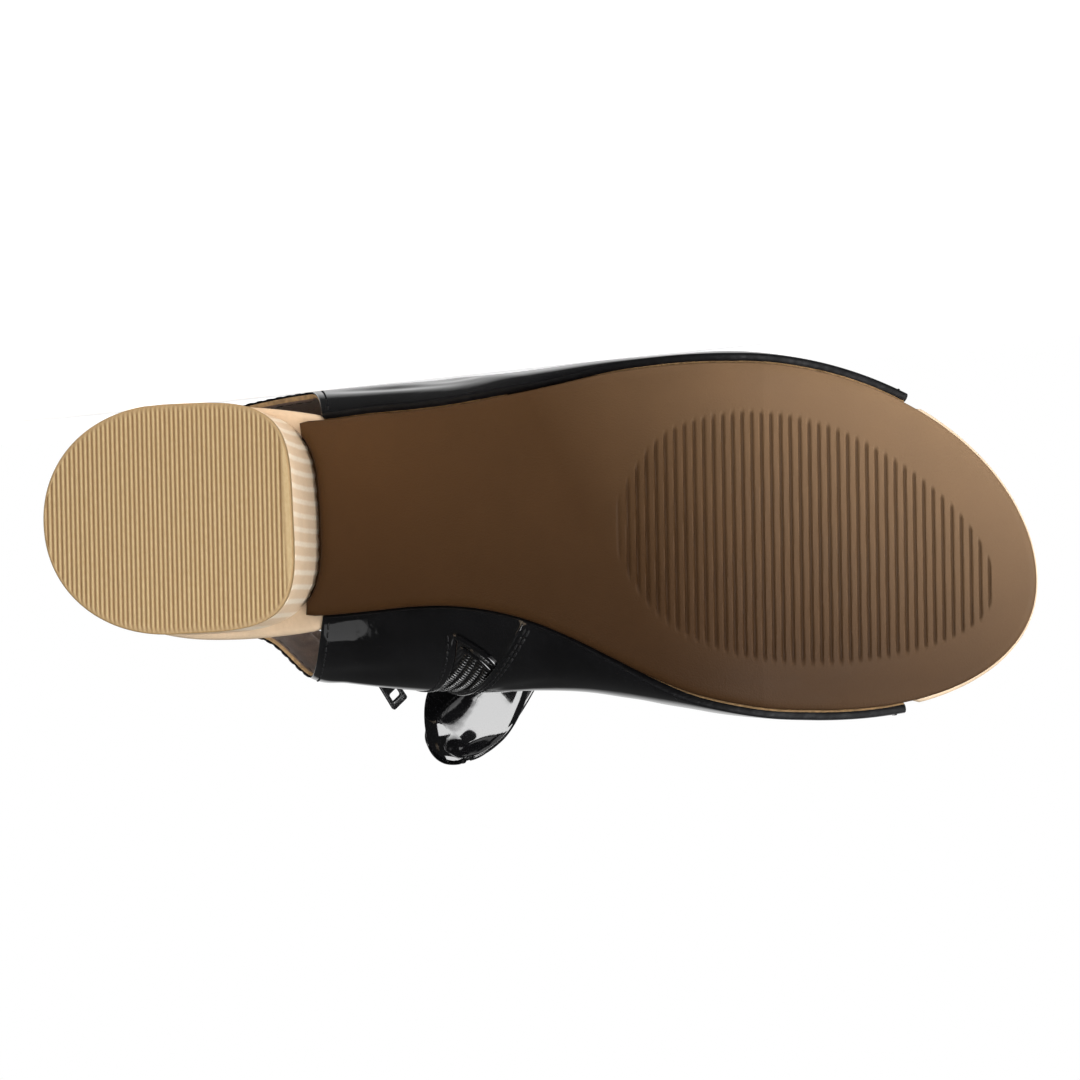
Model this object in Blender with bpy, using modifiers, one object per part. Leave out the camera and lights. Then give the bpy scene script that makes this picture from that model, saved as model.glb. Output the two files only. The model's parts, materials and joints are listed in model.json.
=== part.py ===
"""Heeled sandal for the right foot: open toe and back, block heel, inner zip and a bow on the instep.

The pieces are worked out in the shoe's own frame, in millimetres: x runs from the back of the heel to
the toe, y to the inner side of the foot, and z up from the ground that the sandal would stand on.
An empty then lays the finished shoe down on its outer side, with the origin under its middle.
"""

import math
from collections import namedtuple

import bmesh
import bpy
import numpy as np
from mathutils import Matrix, Vector

MM = 0.001
OUTER, INNER = -1, 1

# Driving sizes, in millimetres and degrees
GAP = 0.3
TOE_TIP = (236.0, 12.6)
HEEL_LINE_Y = -1.8
HEEL_TURN = -2.8
LIFT_THICK = 5.5
OUTSOLE_THICK = 5.0
INSOLE_THICK = 4.5
WALL = 1.8
VAMP_WALL = 2.4
ZIP_THICK = 1.3
LOOP_THICK = 1.6
TAB_THICK = 1.0
TAB_LENGTH = 19.5
TAB_TILT = 6.0

# How the floor slopes in the shoe's frame: its fall towards the toe and towards the ankle
FLOOR_FALL_TOE = 5.832
FLOOR_FALL_ANKLE = 3.155

# Height of the outsole's upper face along the shoe
ProfileRow = namedtuple("ProfileRow", "x height")
SOLE_PROFILE = [
    ProfileRow(-8, 67.2),
    ProfileRow(10, 66.4),
    ProfileRow(30, 64.6),
    ProfileRow(46, 62.2),
    ProfileRow(60, 58.2),
    ProfileRow(75, 51.6),
    ProfileRow(90, 43.1),
    ProfileRow(105, 33.8),
    ProfileRow(120, 24.6),
    ProfileRow(135, 16.2),
    ProfileRow(148, 10.0),
    ProfileRow(160, 6.4),
    ProfileRow(170, 5.0),
    ProfileRow(190, 5.0),
    ProfileRow(205, 6.2),
    ProfileRow(220, 8.9),
    ProfileRow(238, 13.8),
]

# Plan of the outsole's edge from the waist to where the toe arcs start
EdgeRow = namedtuple("EdgeRow", "x outer inner")
OUTSOLE_EDGE = [
    EdgeRow(50, -27.2, 22.4),
    EdgeRow(64, -27.9, 21.6),
    EdgeRow(75, -29.0, 20.5),
    EdgeRow(85, -29.6, 19.4),
    EdgeRow(95, -30.5, 19.1),
    EdgeRow(105, -32.0, 20.1),
    EdgeRow(115, -33.6, 22.5),
    EdgeRow(125, -35.5, 26.4),
    EdgeRow(134, -37.2, 30.7),
    EdgeRow(144, -38.3, 35.6),
    EdgeRow(153, -38.9, 39.2),
    EdgeRow(163, -39.0, 41.6),
    EdgeRow(173, -38.6, 43.0),
    EdgeRow(183, -37.3, 43.3),
]
TOE_START = 183.0
ToeArc = namedtuple("ToeArc", "x y power")
TOE_ARCS = {OUTER: ToeArc(165, -39.0, 1.88), INNER: ToeArc(TOE_START, 43.3, 2.2)}

# Edge of a flat layer from its lower to its upper face: how far it stands out, and the share of its height
EdgeRound = namedtuple("EdgeRound", "out share")
OUTSOLE_ROUND = [
    EdgeRound(-1.2, 0.0),
    EdgeRound(-0.35, 0.12),
    EdgeRound(0.0, 0.35),
    EdgeRound(0.0, 0.8),
    EdgeRound(-0.3, 1.0),
]
INSOLE_ROUND = [
    EdgeRound(-1.2, 0.0),
    EdgeRound(-0.3, 0.2),
    EdgeRound(0.0, 0.5),
    EdgeRound(-0.4, 0.85),
    EdgeRound(-1.5, 1.0),
]
LIFT_ROUND = [
    EdgeRound(-0.7, 0.0),
    EdgeRound(-0.2, 0.036),
    EdgeRound(0.0, 0.127),
    EdgeRound(0.0, 1.0),
]

# Heel outline at its tread and at its seat: an oval half behind its middle, a squarer half in front
HeelRow = namedtuple("HeelRow", "middle back front half_width front_power")
HEEL_TREAD = HeelRow(29.5, 29.5, 29.2, 27.2, 4.2)
HEEL_SEAT = HeelRow(28.0, 31.0, 32.8, 28.6, 3.5)
HEEL_BACK_POWER = 2.1
HEEL_PINCH = 0.9
HEEL_CAP_RINGS = (0.8, 0.55, 0.3)
BREAST_HALF = 21.5
BREAST_FADE = 30.0

# Insole at the heel, where it is bare, and how far it stands out from the outsole under the toes
INSOLE_BACK = -5.0
INSOLE_HEEL_MIDDLE = 34.0
INSOLE_HEEL_HALF = 30.0
INSOLE_HEEL_POWER = 2.2
INSOLE_HEEL_TAPER = 2.6
INSOLE_BARE_HEEL_END = 60.2
INSOLE_BARE_TOE_START = 205.5
INSOLE_INSET = 0.2
INSOLE_TOE_RIM = 1.2

# Ribs of the upper's lining side, from the toe opening back along the foot and round the heel strap.
# Each rises from its foot on the sole, through its widest point, to its top on the ridge or the collar.
# wide_out and wide_in are y at the widest point, mid and open give the two tops as mid - open and
# mid + open, and roof says how level a rib arrives at its top.
RibRow = namedtuple("RibRow", "foot wide top z_wide z_top wide_out wide_in mid open roof")
RIBS = [
    RibRow(203.5, 203, 197.5, 20, 40.5, -30.1, 42.3, 6, 0, 1),
    RibRow(193, 192, 187, 20.5, 44, -34.3, 43.6, 6, 0, 1),
    RibRow(181, 180, 174.5, 21, 49, -38.0, 43.9, 6, 0, 1),
    RibRow(165, 163, 157, 22.5, 58.5, -40.4, 42.9, 5.5, 0, 1),
    RibRow(150, 146, 139, 29, 71, -39.7, 40.4, 5, 0, 1),
    RibRow(137, 130, 122.5, 39, 86, -38.9, 38.2, 4, 0, 1),
    RibRow(127, 116.5, 108, 50, 99.5, -37.8, 38.1, 3, 0, 1),
    RibRow(120, 105.5, 90, 60, 107.5, -37.1, 39.0, 1.8, 12.8, 0.6),
    RibRow(114.5, 96, 66, 69, 113.5, -36.9, 39.8, 1.5, 21.5, 0.2),
    RibRow(96, 88.5, 56, 75, 116, -36.4, 40.0, 1.5, 25, 0),
    RibRow(81, 77.5, 52.6, 80, 117, -35.8, 39.2, 1.2, 26.8, 0),
    RibRow(70, 66.5, 50.4, 86, 117.5, -35.1, 38.2, 1.1, 27.4, 0),
    RibRow(62.8, 57.6, 48.5, 89, 117.5, -34.4, 37.2, 1, 27.2, 0),
    RibRow(56, 47, 42.5, 91.5, 118.2, -32.9, 28.2, 0.2, 24.8, 0),
    RibRow(50, 36, 33.5, 93.5, 117.2, -30.4, 24.6, -1, 21.6, 0),
    RibRow(44, 23, 24.5, 95, 116.5, -25.4, 19.8, -1.7, 17.5, 0),
    RibRow(38, 11, 17, 96, 116, -17.0, 12.4, -2, 11.6, 0),
    RibRow(32, 4.5, 12.6, 96.5, 116, -8.8, 4.6, -2.1, 5.6, 0),
    RibRow(26, 3, 11.5, 96.5, 116, -2.1, -2.1, -2.1, 0, 0),
]
THROAT_RIB, SEAM_RIB, ZIP_RIB, REAR_RIB, BACK_RIB = 6, 8, 9, 12, 18
SEAM_STEP = 0.04
FOOT_OUT = 0.1

# How a rib bends, as shares of its reach: leaving the sole, at its widest point and at its top
FOOT_FLARE, FOOT_RISE = 0.5, 0.12
WIDE_PULL = 0.5
TOP_LEAN, ROOF_REACH, COLLAR_PULL = 0.35, 0.2, 0.45

# Lines run up each rib from 0 at the sole, through the widest point, to 1 at the top.
# The zip's slot starts on a line that drops from the seam to the slot's back edge.
WIDE_LINE = 0.5
ZIP_FOOT_LINE = 0.25
ZipFootRow = namedtuple("ZipFootRow", "rib line")
ZIP_FOOT = [
    ZipFootRow(5, ZIP_FOOT_LINE),
    ZipFootRow(SEAM_RIB, 0.225),
    ZipFootRow(ZIP_RIB, 0.1),
    ZipFootRow(11, ZIP_FOOT_LINE),
]
ZIP_FOOT_MARGIN = 0.012
ZIP_TOP_LINE = 0.985
ZIP_BAND_SHARES = (0.06, 0.3, 0.5, 0.7, 0.94)

# Slider and its bail on the zip, and the pull tab that swings on the bail
SLIDER_LINE = 0.88
SLIDER_LENGTH, SLIDER_WIDTH, SLIDER_HEIGHT = 8.6, 5.0, 2.6
SLIDER_TAPER, SLIDER_ROUND = 0.72, 0.7
BAIL_HALF_SPAN, BAIL_CLEAR, BAIL_STRIP, BAIL_WIDTH = 2.9, 2.3, 0.8, 1.6
BAIL_SUNK, BAIL_CORNER = 0.8, 1.0
TAB_AXIS_HEIGHT = 1.15
TAB_ROOT_HALF, TAB_END_HALF = 2.3, 2.7
TAB_BAR_LOW, TAB_BAR_HIGH = -0.6, 0.5
TAB_SLOT_END = 4.7
TAB_SLOT_HALF = 1.25
TAB_HOLE_HALF = 1.5
TAB_HOLE_FROM_END = 2.2
TAB_HOLE_CORNER, TAB_CORNER, TAB_SLOT_CORNER = 0.6, 0.5, 0.3

# Bow: the knot lies on the ridge between two ribs, and each loop follows a curve out from it.
# root_across and tip_across say which way the ribbon's width lies at both ends of the curve.
KNOT_RIBS = (4.95, 5.75)
KNOT_TOP_LINE = 0.94
KNOT_HEIGHT, KNOT_EDGE = 6.5, 1.4
KNOT_END_POWER, KNOT_SIDE_POWER = 4, 6
BowCurve = namedtuple("BowCurve", "root first second tip root_across tip_across")
BOW_CURVES = {
    INNER: BowCurve(
        root=(120, 9.2, 98),
        first=(113.5, 24, 112.5),
        second=(102, 44, 108),
        tip=(92.5, 58.5, 96),
        root_across=(0.7, 0.1, -0.7),
        tip_across=(0.92, 0.38, -0.1),
    ),
    OUTER: BowCurve(
        root=(120, -3.8, 98),
        first=(114, -16, 114),
        second=(103, -37, 107),
        tip=(95, -37.5, 126),
        root_across=(0.7, -0.1, -0.7),
        tip_across=(0.95, -0.1, 0.3),
    ),
}
LoopRow = namedtuple("LoopRow", "along half_width")
LOOP_WIDTHS = [
    LoopRow(0.0, 6.0),
    LoopRow(0.25, 8.8),
    LoopRow(0.5, 11.6),
    LoopRow(0.7, 12.3),
    LoopRow(0.85, 11.0),
    LoopRow(0.95, 8.0),
    LoopRow(1.0, 5.2),
]
LOOP_FULLNESS = 9.0
LOOP_BLUNTNESS = 0.7
LOOP_START_ANGLE = 28.0

# Colour (linear), roughness and metallic value of each material
Finish = namedtuple("Finish", "colour roughness metallic")
PATENT = Finish((0.006, 0.006, 0.006), 0.08, 0.0)
BLACK_METAL = Finish((0.01, 0.01, 0.011), 0.3, 0.6)
FINISHES = {
    "top_lift": Finish((0.55, 0.36, 0.15), 0.55, 0.0),
    "heel_block": Finish((0.78, 0.60, 0.42), 0.5, 0.0),
    "outsole": Finish((0.16, 0.09, 0.045), 0.55, 0.0),
    "insole": Finish((0.80, 0.63, 0.42), 0.7, 0.0),
    "upper": PATENT,
    "zip_band": Finish((0.012, 0.012, 0.012), 0.6, 0.0),
    "zip_slider": BLACK_METAL,
    "zip_pull_tab": BLACK_METAL,
    "bow_knot": PATENT,
    "bow_loop_medial": PATENT,
    "bow_loop_lateral": PATENT,
}


# Curves


def curve_at(xs, ys, x):
    """Smooth curve through (xs, ys) read at x: cubic pieces whose slopes come from the neighbouring rows."""
    xs, ys, x = np.array(xs, float), np.array(ys, float), np.asarray(x, float)
    slopes = np.gradient(ys, xs)
    i = np.clip(np.searchsorted(xs, x) - 1, 0, len(xs) - 2)
    step = xs[i + 1] - xs[i]
    f = (x - xs[i]) / step
    rise = ys[i] * (1 + 2 * f) * (1 - f) ** 2 + ys[i + 1] * f**2 * (3 - 2 * f)
    return rise + step * (slopes[i] * f * (1 - f) ** 2 - slopes[i + 1] * f**2 * (1 - f))


def rows_at(rows, number):
    """Catmull-Rom curve through a table's rows, read at fractional row numbers."""
    rows = np.array(rows, float)
    padded = np.vstack([2 * rows[0] - rows[1], rows, 2 * rows[-1] - rows[-2]])
    i = np.clip(np.floor(number).astype(int), 0, len(rows) - 2)
    f = (number - i)[:, None]
    a, b, c, d = (padded[i + k] for k in range(4))
    return 0.5 * (2 * b + (c - a) * f + (2 * a - 5 * b + 4 * c - d) * f**2 + (3 * b - a - 3 * c + d) * f**3)


def bezier(p0, p1, p2, p3, f):
    """Cubic Bezier curve read at f."""
    g = 1 - f
    return p0 * g**3 + 3 * p1 * g**2 * f + 3 * p2 * g * f**2 + p3 * f**3


def sole_height(x):
    """Height of the outsole's upper face, level under the ball of the foot."""
    height = curve_at([row.x for row in SOLE_PROFILE], [row.height for row in SOLE_PROFILE], x)
    return np.maximum(height, OUTSOLE_THICK)


def tread_height(x):
    """Height of the outsole's lower face."""
    return sole_height(x) - OUTSOLE_THICK


def footbed_low(x):
    """Height of the insole's lower face."""
    return sole_height(x) + GAP


def footbed_high(x):
    """Height of the insole's upper face."""
    return sole_height(x) + GAP + INSOLE_THICK


def outsole_edge(x, side, grow=0.0):
    """y of the outsole's edge on one side, moved out by grow: the table's curve, then the toe arc."""
    arc = TOE_ARCS[side]
    rows = [row.outer if side == OUTER else row.inner for row in OUTSOLE_EDGE]
    waist = curve_at([row.x for row in OUTSOLE_EDGE], rows, x) + side * grow
    reach = np.clip((x - arc.x) / (TOE_TIP[0] + grow - arc.x), 0, 1)
    toe = TOE_TIP[1] + (arc.y + side * grow - TOE_TIP[1]) * (1 - reach**arc.power) ** (1 / arc.power)
    return np.where(x < arc.x, waist, toe)


def insole_edge(x, side):
    """y of the insole's edge: oval at the bare heel, just inside the upper, and a rim under the toes."""
    back = np.clip((INSOLE_HEEL_MIDDLE - x) / (INSOLE_HEEL_MIDDLE - INSOLE_BACK), 0, 1)
    ahead = np.clip((x - INSOLE_HEEL_MIDDLE) / (INSOLE_BARE_HEEL_END - INSOLE_HEEL_MIDDLE), 0, 1)
    oval = (1 - back**INSOLE_HEEL_POWER) ** (1 / INSOLE_HEEL_POWER)
    bare_heel = HEEL_LINE_Y + side * (INSOLE_HEEL_HALF * oval - INSOLE_HEEL_TAPER * ahead**2)
    covered = outsole_edge(x, side, -INSOLE_INSET)
    bare_toe = outsole_edge(x, side, INSOLE_TOE_RIM)
    to_covered = np.clip(x - INSOLE_BARE_HEEL_END, 0, 1)
    to_bare = np.clip((x - INSOLE_BARE_TOE_START) / 2, 0, 1)
    edge = bare_heel + (covered - bare_heel) * to_covered
    return edge + (bare_toe - covered) * to_bare


def heel_outline(share, count=48):
    """Heel's plan at a share of its height: an oval half behind, a squarer half in front, slightly turned."""
    row = HeelRow(*(np.array(HEEL_TREAD) + (np.array(HEEL_SEAT) - np.array(HEEL_TREAD)) * share))
    angle = np.linspace(0, 2 * math.pi, count, endpoint=False)
    c, s = np.cos(angle), np.sin(angle)
    power = np.where(c > 0, row.front_power, HEEL_BACK_POWER)
    pinch = HEEL_PINCH * 4 * share * (1 - share)
    length = np.where(c > 0, row.front, row.back) - pinch
    x = length * np.sign(c) * np.abs(c) ** (2 / power)
    y = (row.half_width - pinch) * np.sign(s) * np.abs(s) ** (2 / power)
    turn = math.radians(HEEL_TURN)
    plan_x = row.middle + x * math.cos(turn) - y * math.sin(turn)
    plan_y = HEEL_LINE_Y + x * math.sin(turn) + y * math.cos(turn)
    return np.stack([plan_x, plan_y], axis=-1)


def breast_x(y):
    """x of the heel's front edge at its seat, carried straight on beyond its flatter middle."""
    ring = heel_outline(1.0, 400)
    front = ring[ring[:, 0] > HEEL_SEAT.middle]
    front = front[np.argsort(front[:, 1])]
    middle_y = np.clip(y, HEEL_LINE_Y - BREAST_HALF, HEEL_LINE_Y + BREAST_HALF)
    return np.interp(middle_y, front[:, 1], front[:, 0])


# Objects


def clear_scene():
    for obj in list(bpy.data.objects):
        bpy.data.objects.remove(obj, do_unlink=True)


def new_collection(name):
    collection = bpy.data.collections.new(name)
    bpy.context.scene.collection.children.link(collection)
    return collection


def new_material(name):
    finish = FINISHES[name]
    material = bpy.data.materials.new(name)
    material.use_nodes = True
    shader = material.node_tree.nodes["Principled BSDF"]
    shader.inputs["Base Color"].default_value = (*finish.colour, 1.0)
    shader.inputs["Roughness"].default_value = finish.roughness
    shader.inputs["Metallic"].default_value = finish.metallic
    return material


def new_mesh(name, points, faces):
    """Mesh from points in millimetres."""
    mesh = bpy.data.meshes.new(name)
    mesh.from_pydata((np.asarray(points, float) * MM).tolist(), [], faces)
    return mesh


def face_outwards(mesh):
    """Turn the faces of a closed mesh outwards."""
    work = bmesh.new()
    work.from_mesh(mesh)
    bmesh.ops.recalc_face_normals(work, faces=work.faces)
    work.to_mesh(mesh)
    work.free()


def weld(mesh, distance=0.01):
    """Join points closer than a distance in millimetres, and drop those that no face uses."""
    work = bmesh.new()
    work.from_mesh(mesh)
    bmesh.ops.remove_doubles(work, verts=work.verts, dist=distance * MM)
    loose = [vertex for vertex in work.verts if not vertex.link_faces]
    bmesh.ops.delete(work, geom=loose, context="VERTS")
    work.to_mesh(mesh)
    work.free()


def place(name, data, parent, collection):
    """Object with its own material, shaded smooth between sharp edges."""
    obj = bpy.data.objects.new(name, data)
    obj.parent = parent
    collection.objects.link(obj)
    data.materials.append(new_material(name))
    if obj.type == "MESH":
        data.shade_smooth()
        data.set_sharp_from_angle(angle=math.radians(35))
    return obj


def add_wall(obj, name, thickness, offset):
    """Solidify an open surface: offset 1 puts the wall outside it, 0 on both sides."""
    wall = obj.modifiers.new(name, "SOLIDIFY")
    wall.thickness = thickness * MM
    wall.offset = offset
    wall.use_even_offset = True
    return wall


def grid_faces(rows, columns, offset=0):
    """Quads of a grid of rows x columns points, numbered row by row."""
    i, j = np.meshgrid(np.arange(rows - 1), np.arange(columns - 1), indexing="ij")
    corner = (offset + i * columns + j).ravel()
    return np.stack([corner, corner + columns, corner + columns + 1, corner + 1], axis=-1).tolist()


def rim_numbers(rows, columns):
    """Numbers of a grid's border points, in order round it."""
    number = np.arange(rows * columns).reshape(rows, columns)
    return np.concatenate([number[0, :], number[1:, -1], number[-1, -2::-1], number[-2:0:-1, 0]])


def ring_faces(first, second):
    """Quads between two closed rings of point numbers."""
    return np.stack([first, np.roll(first, -1), np.roll(second, -1), second], axis=-1).tolist()


def slab_mesh(name, plan, low, high, edge):
    """Solid between two heights over a plan grid, its rim following the rows of an edge table."""
    rows, columns = plan.shape[:2]
    rim = rim_numbers(rows, columns)
    flat = plan.reshape(-1, 2)
    loop = flat[rim]
    along = np.roll(loop, -1, axis=0) - np.roll(loop, 1, axis=0)
    along /= np.linalg.norm(along, axis=1, keepdims=True)
    outward = np.stack([-along[:, 1], along[:, 0]], axis=-1)
    rings = []
    for row in edge:
        ring = loop + outward * row.out
        bottom, top = low(ring[:, 0]), high(ring[:, 0])
        rings.append(np.column_stack([ring, bottom + (top - bottom) * row.share]))
    bottom_grid = np.column_stack([flat, low(flat[:, 0])])
    top_grid = np.column_stack([flat, high(flat[:, 0])])
    bottom_grid[rim] = rings[0]
    top_grid[rim] = rings[-1]
    count = len(flat)
    numbers = [rim]
    for k in range(1, len(rings) - 1):
        numbers.append(2 * count + (k - 1) * len(rim) + np.arange(len(rim)))
    numbers.append(count + rim)
    faces = grid_faces(rows, columns) + grid_faces(rows, columns, count)
    for first, second in zip(numbers, numbers[1:]):
        faces += ring_faces(first, second)
    mesh = new_mesh(name, np.vstack([bottom_grid, top_grid, *rings[1:-1]]), faces)
    face_outwards(mesh)
    return mesh


def ring_mesh(name, rings):
    """Solid through closed rings of points, with a flat face over the first and the last."""
    count = len(rings[0])
    faces = [list(range(count)), list(range((len(rings) - 1) * count, len(rings) * count))]
    for k in range(len(rings) - 1):
        first = k * count + np.arange(count)
        faces += ring_faces(first, first + count)
    mesh = new_mesh(name, np.vstack(rings), faces)
    face_outwards(mesh)
    return mesh


# Sole and heel


def toe_rows(start, end, count):
    """x rows that crowd together towards the round end of a sole."""
    return start + (end - start) * np.sin(np.linspace(0, math.radians(87.5), count))


def across(outer, inner, shares):
    return outer[:, None] + (inner - outer)[:, None] * shares[None, :]


def make_outsole(parent, collection):
    """Outsole from the heel's front to the toe: its back end follows the heel, its lower edge is rounded."""
    shares = np.array([0, 0.1, 0.3, 0.5, 0.7, 0.9, 1.0])
    back = HEEL_SEAT.middle + HEEL_SEAT.front + GAP
    x = np.concatenate([np.linspace(back, TOE_START, 25)[:-1], toe_rows(TOE_START, TOE_TIP[0], 13)])
    fade = np.clip(1 - (x - back) / BREAST_FADE, 0, 1) ** 2
    plan_y = across(outsole_edge(x, OUTER), outsole_edge(x, INNER), shares)
    for _ in range(4):
        plan_x = x[:, None] + (breast_x(plan_y) + 2.6 * GAP - back) * fade[:, None]
        plan_y = across(outsole_edge(plan_x[:, 0], OUTER), outsole_edge(plan_x[:, -1], INNER), shares)
    plan = np.stack([plan_x, plan_y], axis=-1)
    mesh = slab_mesh("outsole", plan, tread_height, sole_height, OUTSOLE_ROUND)
    return place("outsole", mesh, parent, collection)


def make_insole(parent, collection):
    """Footbed over heel and outsole, with a rounded edge that is bare at the heel and under the toes."""
    shares = np.array([0, 0.15, 0.5, 0.85, 1.0])
    back = INSOLE_HEEL_MIDDLE - toe_rows(0, INSOLE_HEEL_MIDDLE - INSOLE_BACK, 11)[::-1]
    end, start = INSOLE_BARE_HEEL_END, INSOLE_BARE_TOE_START
    heel_front = [40, 48, 55, end, end + 0.5, end + 1, 64]
    waist = np.linspace(70, TOE_START, 20)[:-1]
    toe = toe_rows(TOE_START, TOE_TIP[0] + INSOLE_TOE_RIM, 17)
    x = np.unique(np.concatenate([back, heel_front, waist, toe, [start, start + 1, start + 2]]))
    y = across(insole_edge(x, OUTER), insole_edge(x, INNER), shares)
    plan = np.stack([np.repeat(x[:, None], len(shares), axis=1), y], axis=-1)
    mesh = slab_mesh("insole", plan, footbed_low, footbed_high, INSOLE_ROUND)
    return place("insole", mesh, parent, collection)


def make_top_lift(parent, collection):
    """Tip of the heel: its tread outline carried straight up, with a small round at the tread."""
    middle = np.array([HEEL_TREAD.middle, HEEL_LINE_Y])
    out = heel_outline(0.0) - middle
    reach = np.linalg.norm(out, axis=1, keepdims=True)
    rings = []
    for row in LIFT_ROUND:
        plan = middle + out * (1 + row.out / reach)
        rings.append(np.column_stack([plan, np.full(len(plan), LIFT_THICK * row.share)]))
    return place("top_lift", ring_mesh("top_lift", rings), parent, collection)


def make_heel_block(parent, collection):
    """Block heel from its tip to the seat under the insole, slightly drawn in at half height."""
    foot = LIFT_THICK + GAP
    rings = []
    for share in np.linspace(0, 1, 8):
        plan = heel_outline(share)
        rings.append(np.column_stack([plan, foot + (sole_height(plan[:, 0]) - foot) * share]))
    middle = np.array([HEEL_SEAT.middle, HEEL_LINE_Y])
    for shrink in HEEL_CAP_RINGS:
        plan = middle + (heel_outline(1.0) - middle) * shrink
        rings.append(np.column_stack([plan, sole_height(plan[:, 0])]))
    return place("heel_block", ring_mesh("heel_block", rings), parent, collection)


# Upper


def upper_points(ribs, lines, side):
    """Lining side of the upper: ribs are fractional rows of RIBS, lines run 0 at the sole to 1 at the top.

    Below the widest point a rib leaves the sole outwards and ends upright. Above it, it starts upright
    and arrives level on the ridge, or leaning in at the collar. The lines may differ from rib to rib.
    """
    row = RibRow(*(column[:, None] for column in rows_at(RIBS, ribs).T))
    line = np.atleast_2d(lines)
    foot_y = outsole_edge(row.foot, side) + side * FOOT_OUT
    foot_z = footbed_low(row.foot)
    wide_y = row.wide_in if side == INNER else row.wide_out
    top_y = row.mid + side * np.maximum(row.open, 0) * (ribs[:, None] > THROAT_RIB)
    low = np.clip(line / WIDE_LINE, 0, 1)
    high = np.clip((line - WIDE_LINE) / (1 - WIDE_LINE), 0, 1)
    rise, crown = row.z_wide - foot_z, row.z_top - row.z_wide
    low_y = bezier(foot_y, foot_y + FOOT_FLARE * (wide_y - foot_y), wide_y, wide_y, low)
    low_z = bezier(foot_z, foot_z + FOOT_RISE * rise, row.z_wide - WIDE_PULL * rise, row.z_wide, low)
    arrive_y = top_y + (TOP_LEAN + ROOF_REACH * row.roof) * (wide_y - top_y)
    arrive_z = row.z_top - COLLAR_PULL * (1 - row.roof) * crown
    high_y = bezier(wide_y, wide_y, arrive_y, top_y, high)
    high_z = bezier(row.z_wide, row.z_wide + WIDE_PULL * crown, arrive_z, row.z_top, high)
    below = line <= WIDE_LINE
    bend = 2 * (row.foot + row.top - 2 * row.wide)
    x = row.foot + (row.top - row.foot - bend) * line + bend * line**2
    return np.stack([x, np.where(below, low_y, high_y), np.where(below, low_z, high_z)], axis=-1)


def zip_foot(ribs):
    """Line on which the zip's slot starts at each rib, as a column."""
    return np.interp(ribs, [row.rib for row in ZIP_FOOT], [row.line for row in ZIP_FOOT])[:, None]


def inner_lines(ribs, lines):
    """Lines of the inner side, slid along each rib so that one of them follows the slot's foot."""
    foot, line = zip_foot(ribs), lines[None, :]
    under = line * foot / ZIP_FOOT_LINE
    over = foot + (line - ZIP_FOOT_LINE) * (WIDE_LINE - foot) / (WIDE_LINE - ZIP_FOOT_LINE)
    return np.where(line < ZIP_FOOT_LINE, under, np.where(line < WIDE_LINE, over, line))


def outward_normals(points, side):
    """Unit normals of a grid of upper points, pointing out of the shoe."""
    normal = np.cross(np.gradient(points, axis=0), np.gradient(points, axis=1)) * side
    return normal / np.linalg.norm(normal, axis=-1, keepdims=True)


def upper_ribs():
    """Where the upper's grid lines stand: even in the vamp, doubled at the seam, coarser round the strap."""
    vamp = np.linspace(0, SEAM_RIB, 29)
    zip_ribs = np.array([SEAM_RIB + SEAM_STEP, SEAM_RIB + 0.35, SEAM_RIB + 0.68, ZIP_RIB])
    quarter = np.linspace(ZIP_RIB, REAR_RIB, 8)[1:]
    strap = np.linspace(REAR_RIB, BACK_RIB, 14)[1:]
    return np.concatenate([vamp, zip_ribs, quarter, strap])


def upper_lines():
    low = np.array([0, 0.06, 0.15, ZIP_FOOT_LINE, 0.37])
    return np.concatenate([low, np.linspace(WIDE_LINE, 1, 9)])


def wall_shares(ribs, side):
    """1 where the wall has the vamp's thickness: up to the inner seam, and fading round the outer strap."""
    if side == INNER:
        return (ribs <= SEAM_RIB).astype(float)
    return np.clip((BACK_RIB - ribs) / (BACK_RIB - REAR_RIB), 0, 1)


def make_upper(parent, collection):
    """One open surface for vamp, quarters and heel strap, given its wall by Solidify.

    The heel window is what lies under the strap's lower edge, and the zip's slot is cut out of the inner side.
    The vamp's wall is thicker, so its back edge shows as a step at the seam.
    """
    ribs, lines = upper_ribs(), upper_lines()
    points, faces, shares = [], [], []
    rib_middle = (ribs[1:] + ribs[:-1])[:, None] / 2
    line_middle = (lines[1:] + lines[:-1])[None, :] / 2
    heel_window = (rib_middle > REAR_RIB) & (line_middle < WIDE_LINE)
    slot = (rib_middle > SEAM_RIB) & (rib_middle < ZIP_RIB) & (line_middle > ZIP_FOOT_LINE)
    for side in (OUTER, INNER):
        start = len(points) * len(ribs) * len(lines)
        side_lines = inner_lines(ribs, lines) if side == INNER else lines
        points.append(upper_points(ribs, side_lines, side).reshape(-1, 3))
        kept = ~heel_window & ~(slot & (side == INNER))
        quads = np.array(grid_faces(len(ribs), len(lines), start))[kept.ravel()]
        faces += (quads if side == INNER else quads[:, ::-1]).tolist()
        shares.append(np.repeat(wall_shares(ribs, side), len(lines)))
    mesh = new_mesh("upper", np.vstack(points), faces)
    obj = place("upper", mesh, parent, collection)
    group = obj.vertex_groups.new(name="vamp_wall")
    for number, share in enumerate(np.concatenate(shares)):
        group.add([number], float(share), "REPLACE")
    weld(mesh)
    wall = add_wall(obj, "wall", VAMP_WALL, 1)
    wall.vertex_group = group.name
    wall.thickness_vertex_group = WALL / VAMP_WALL
    return obj


# Zip


def zip_ribs():
    """Ribs across the zip's band, which stays clear of the slot's edges."""
    return SEAM_RIB + np.array(ZIP_BAND_SHARES) * (ZIP_RIB - SEAM_RIB)


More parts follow.
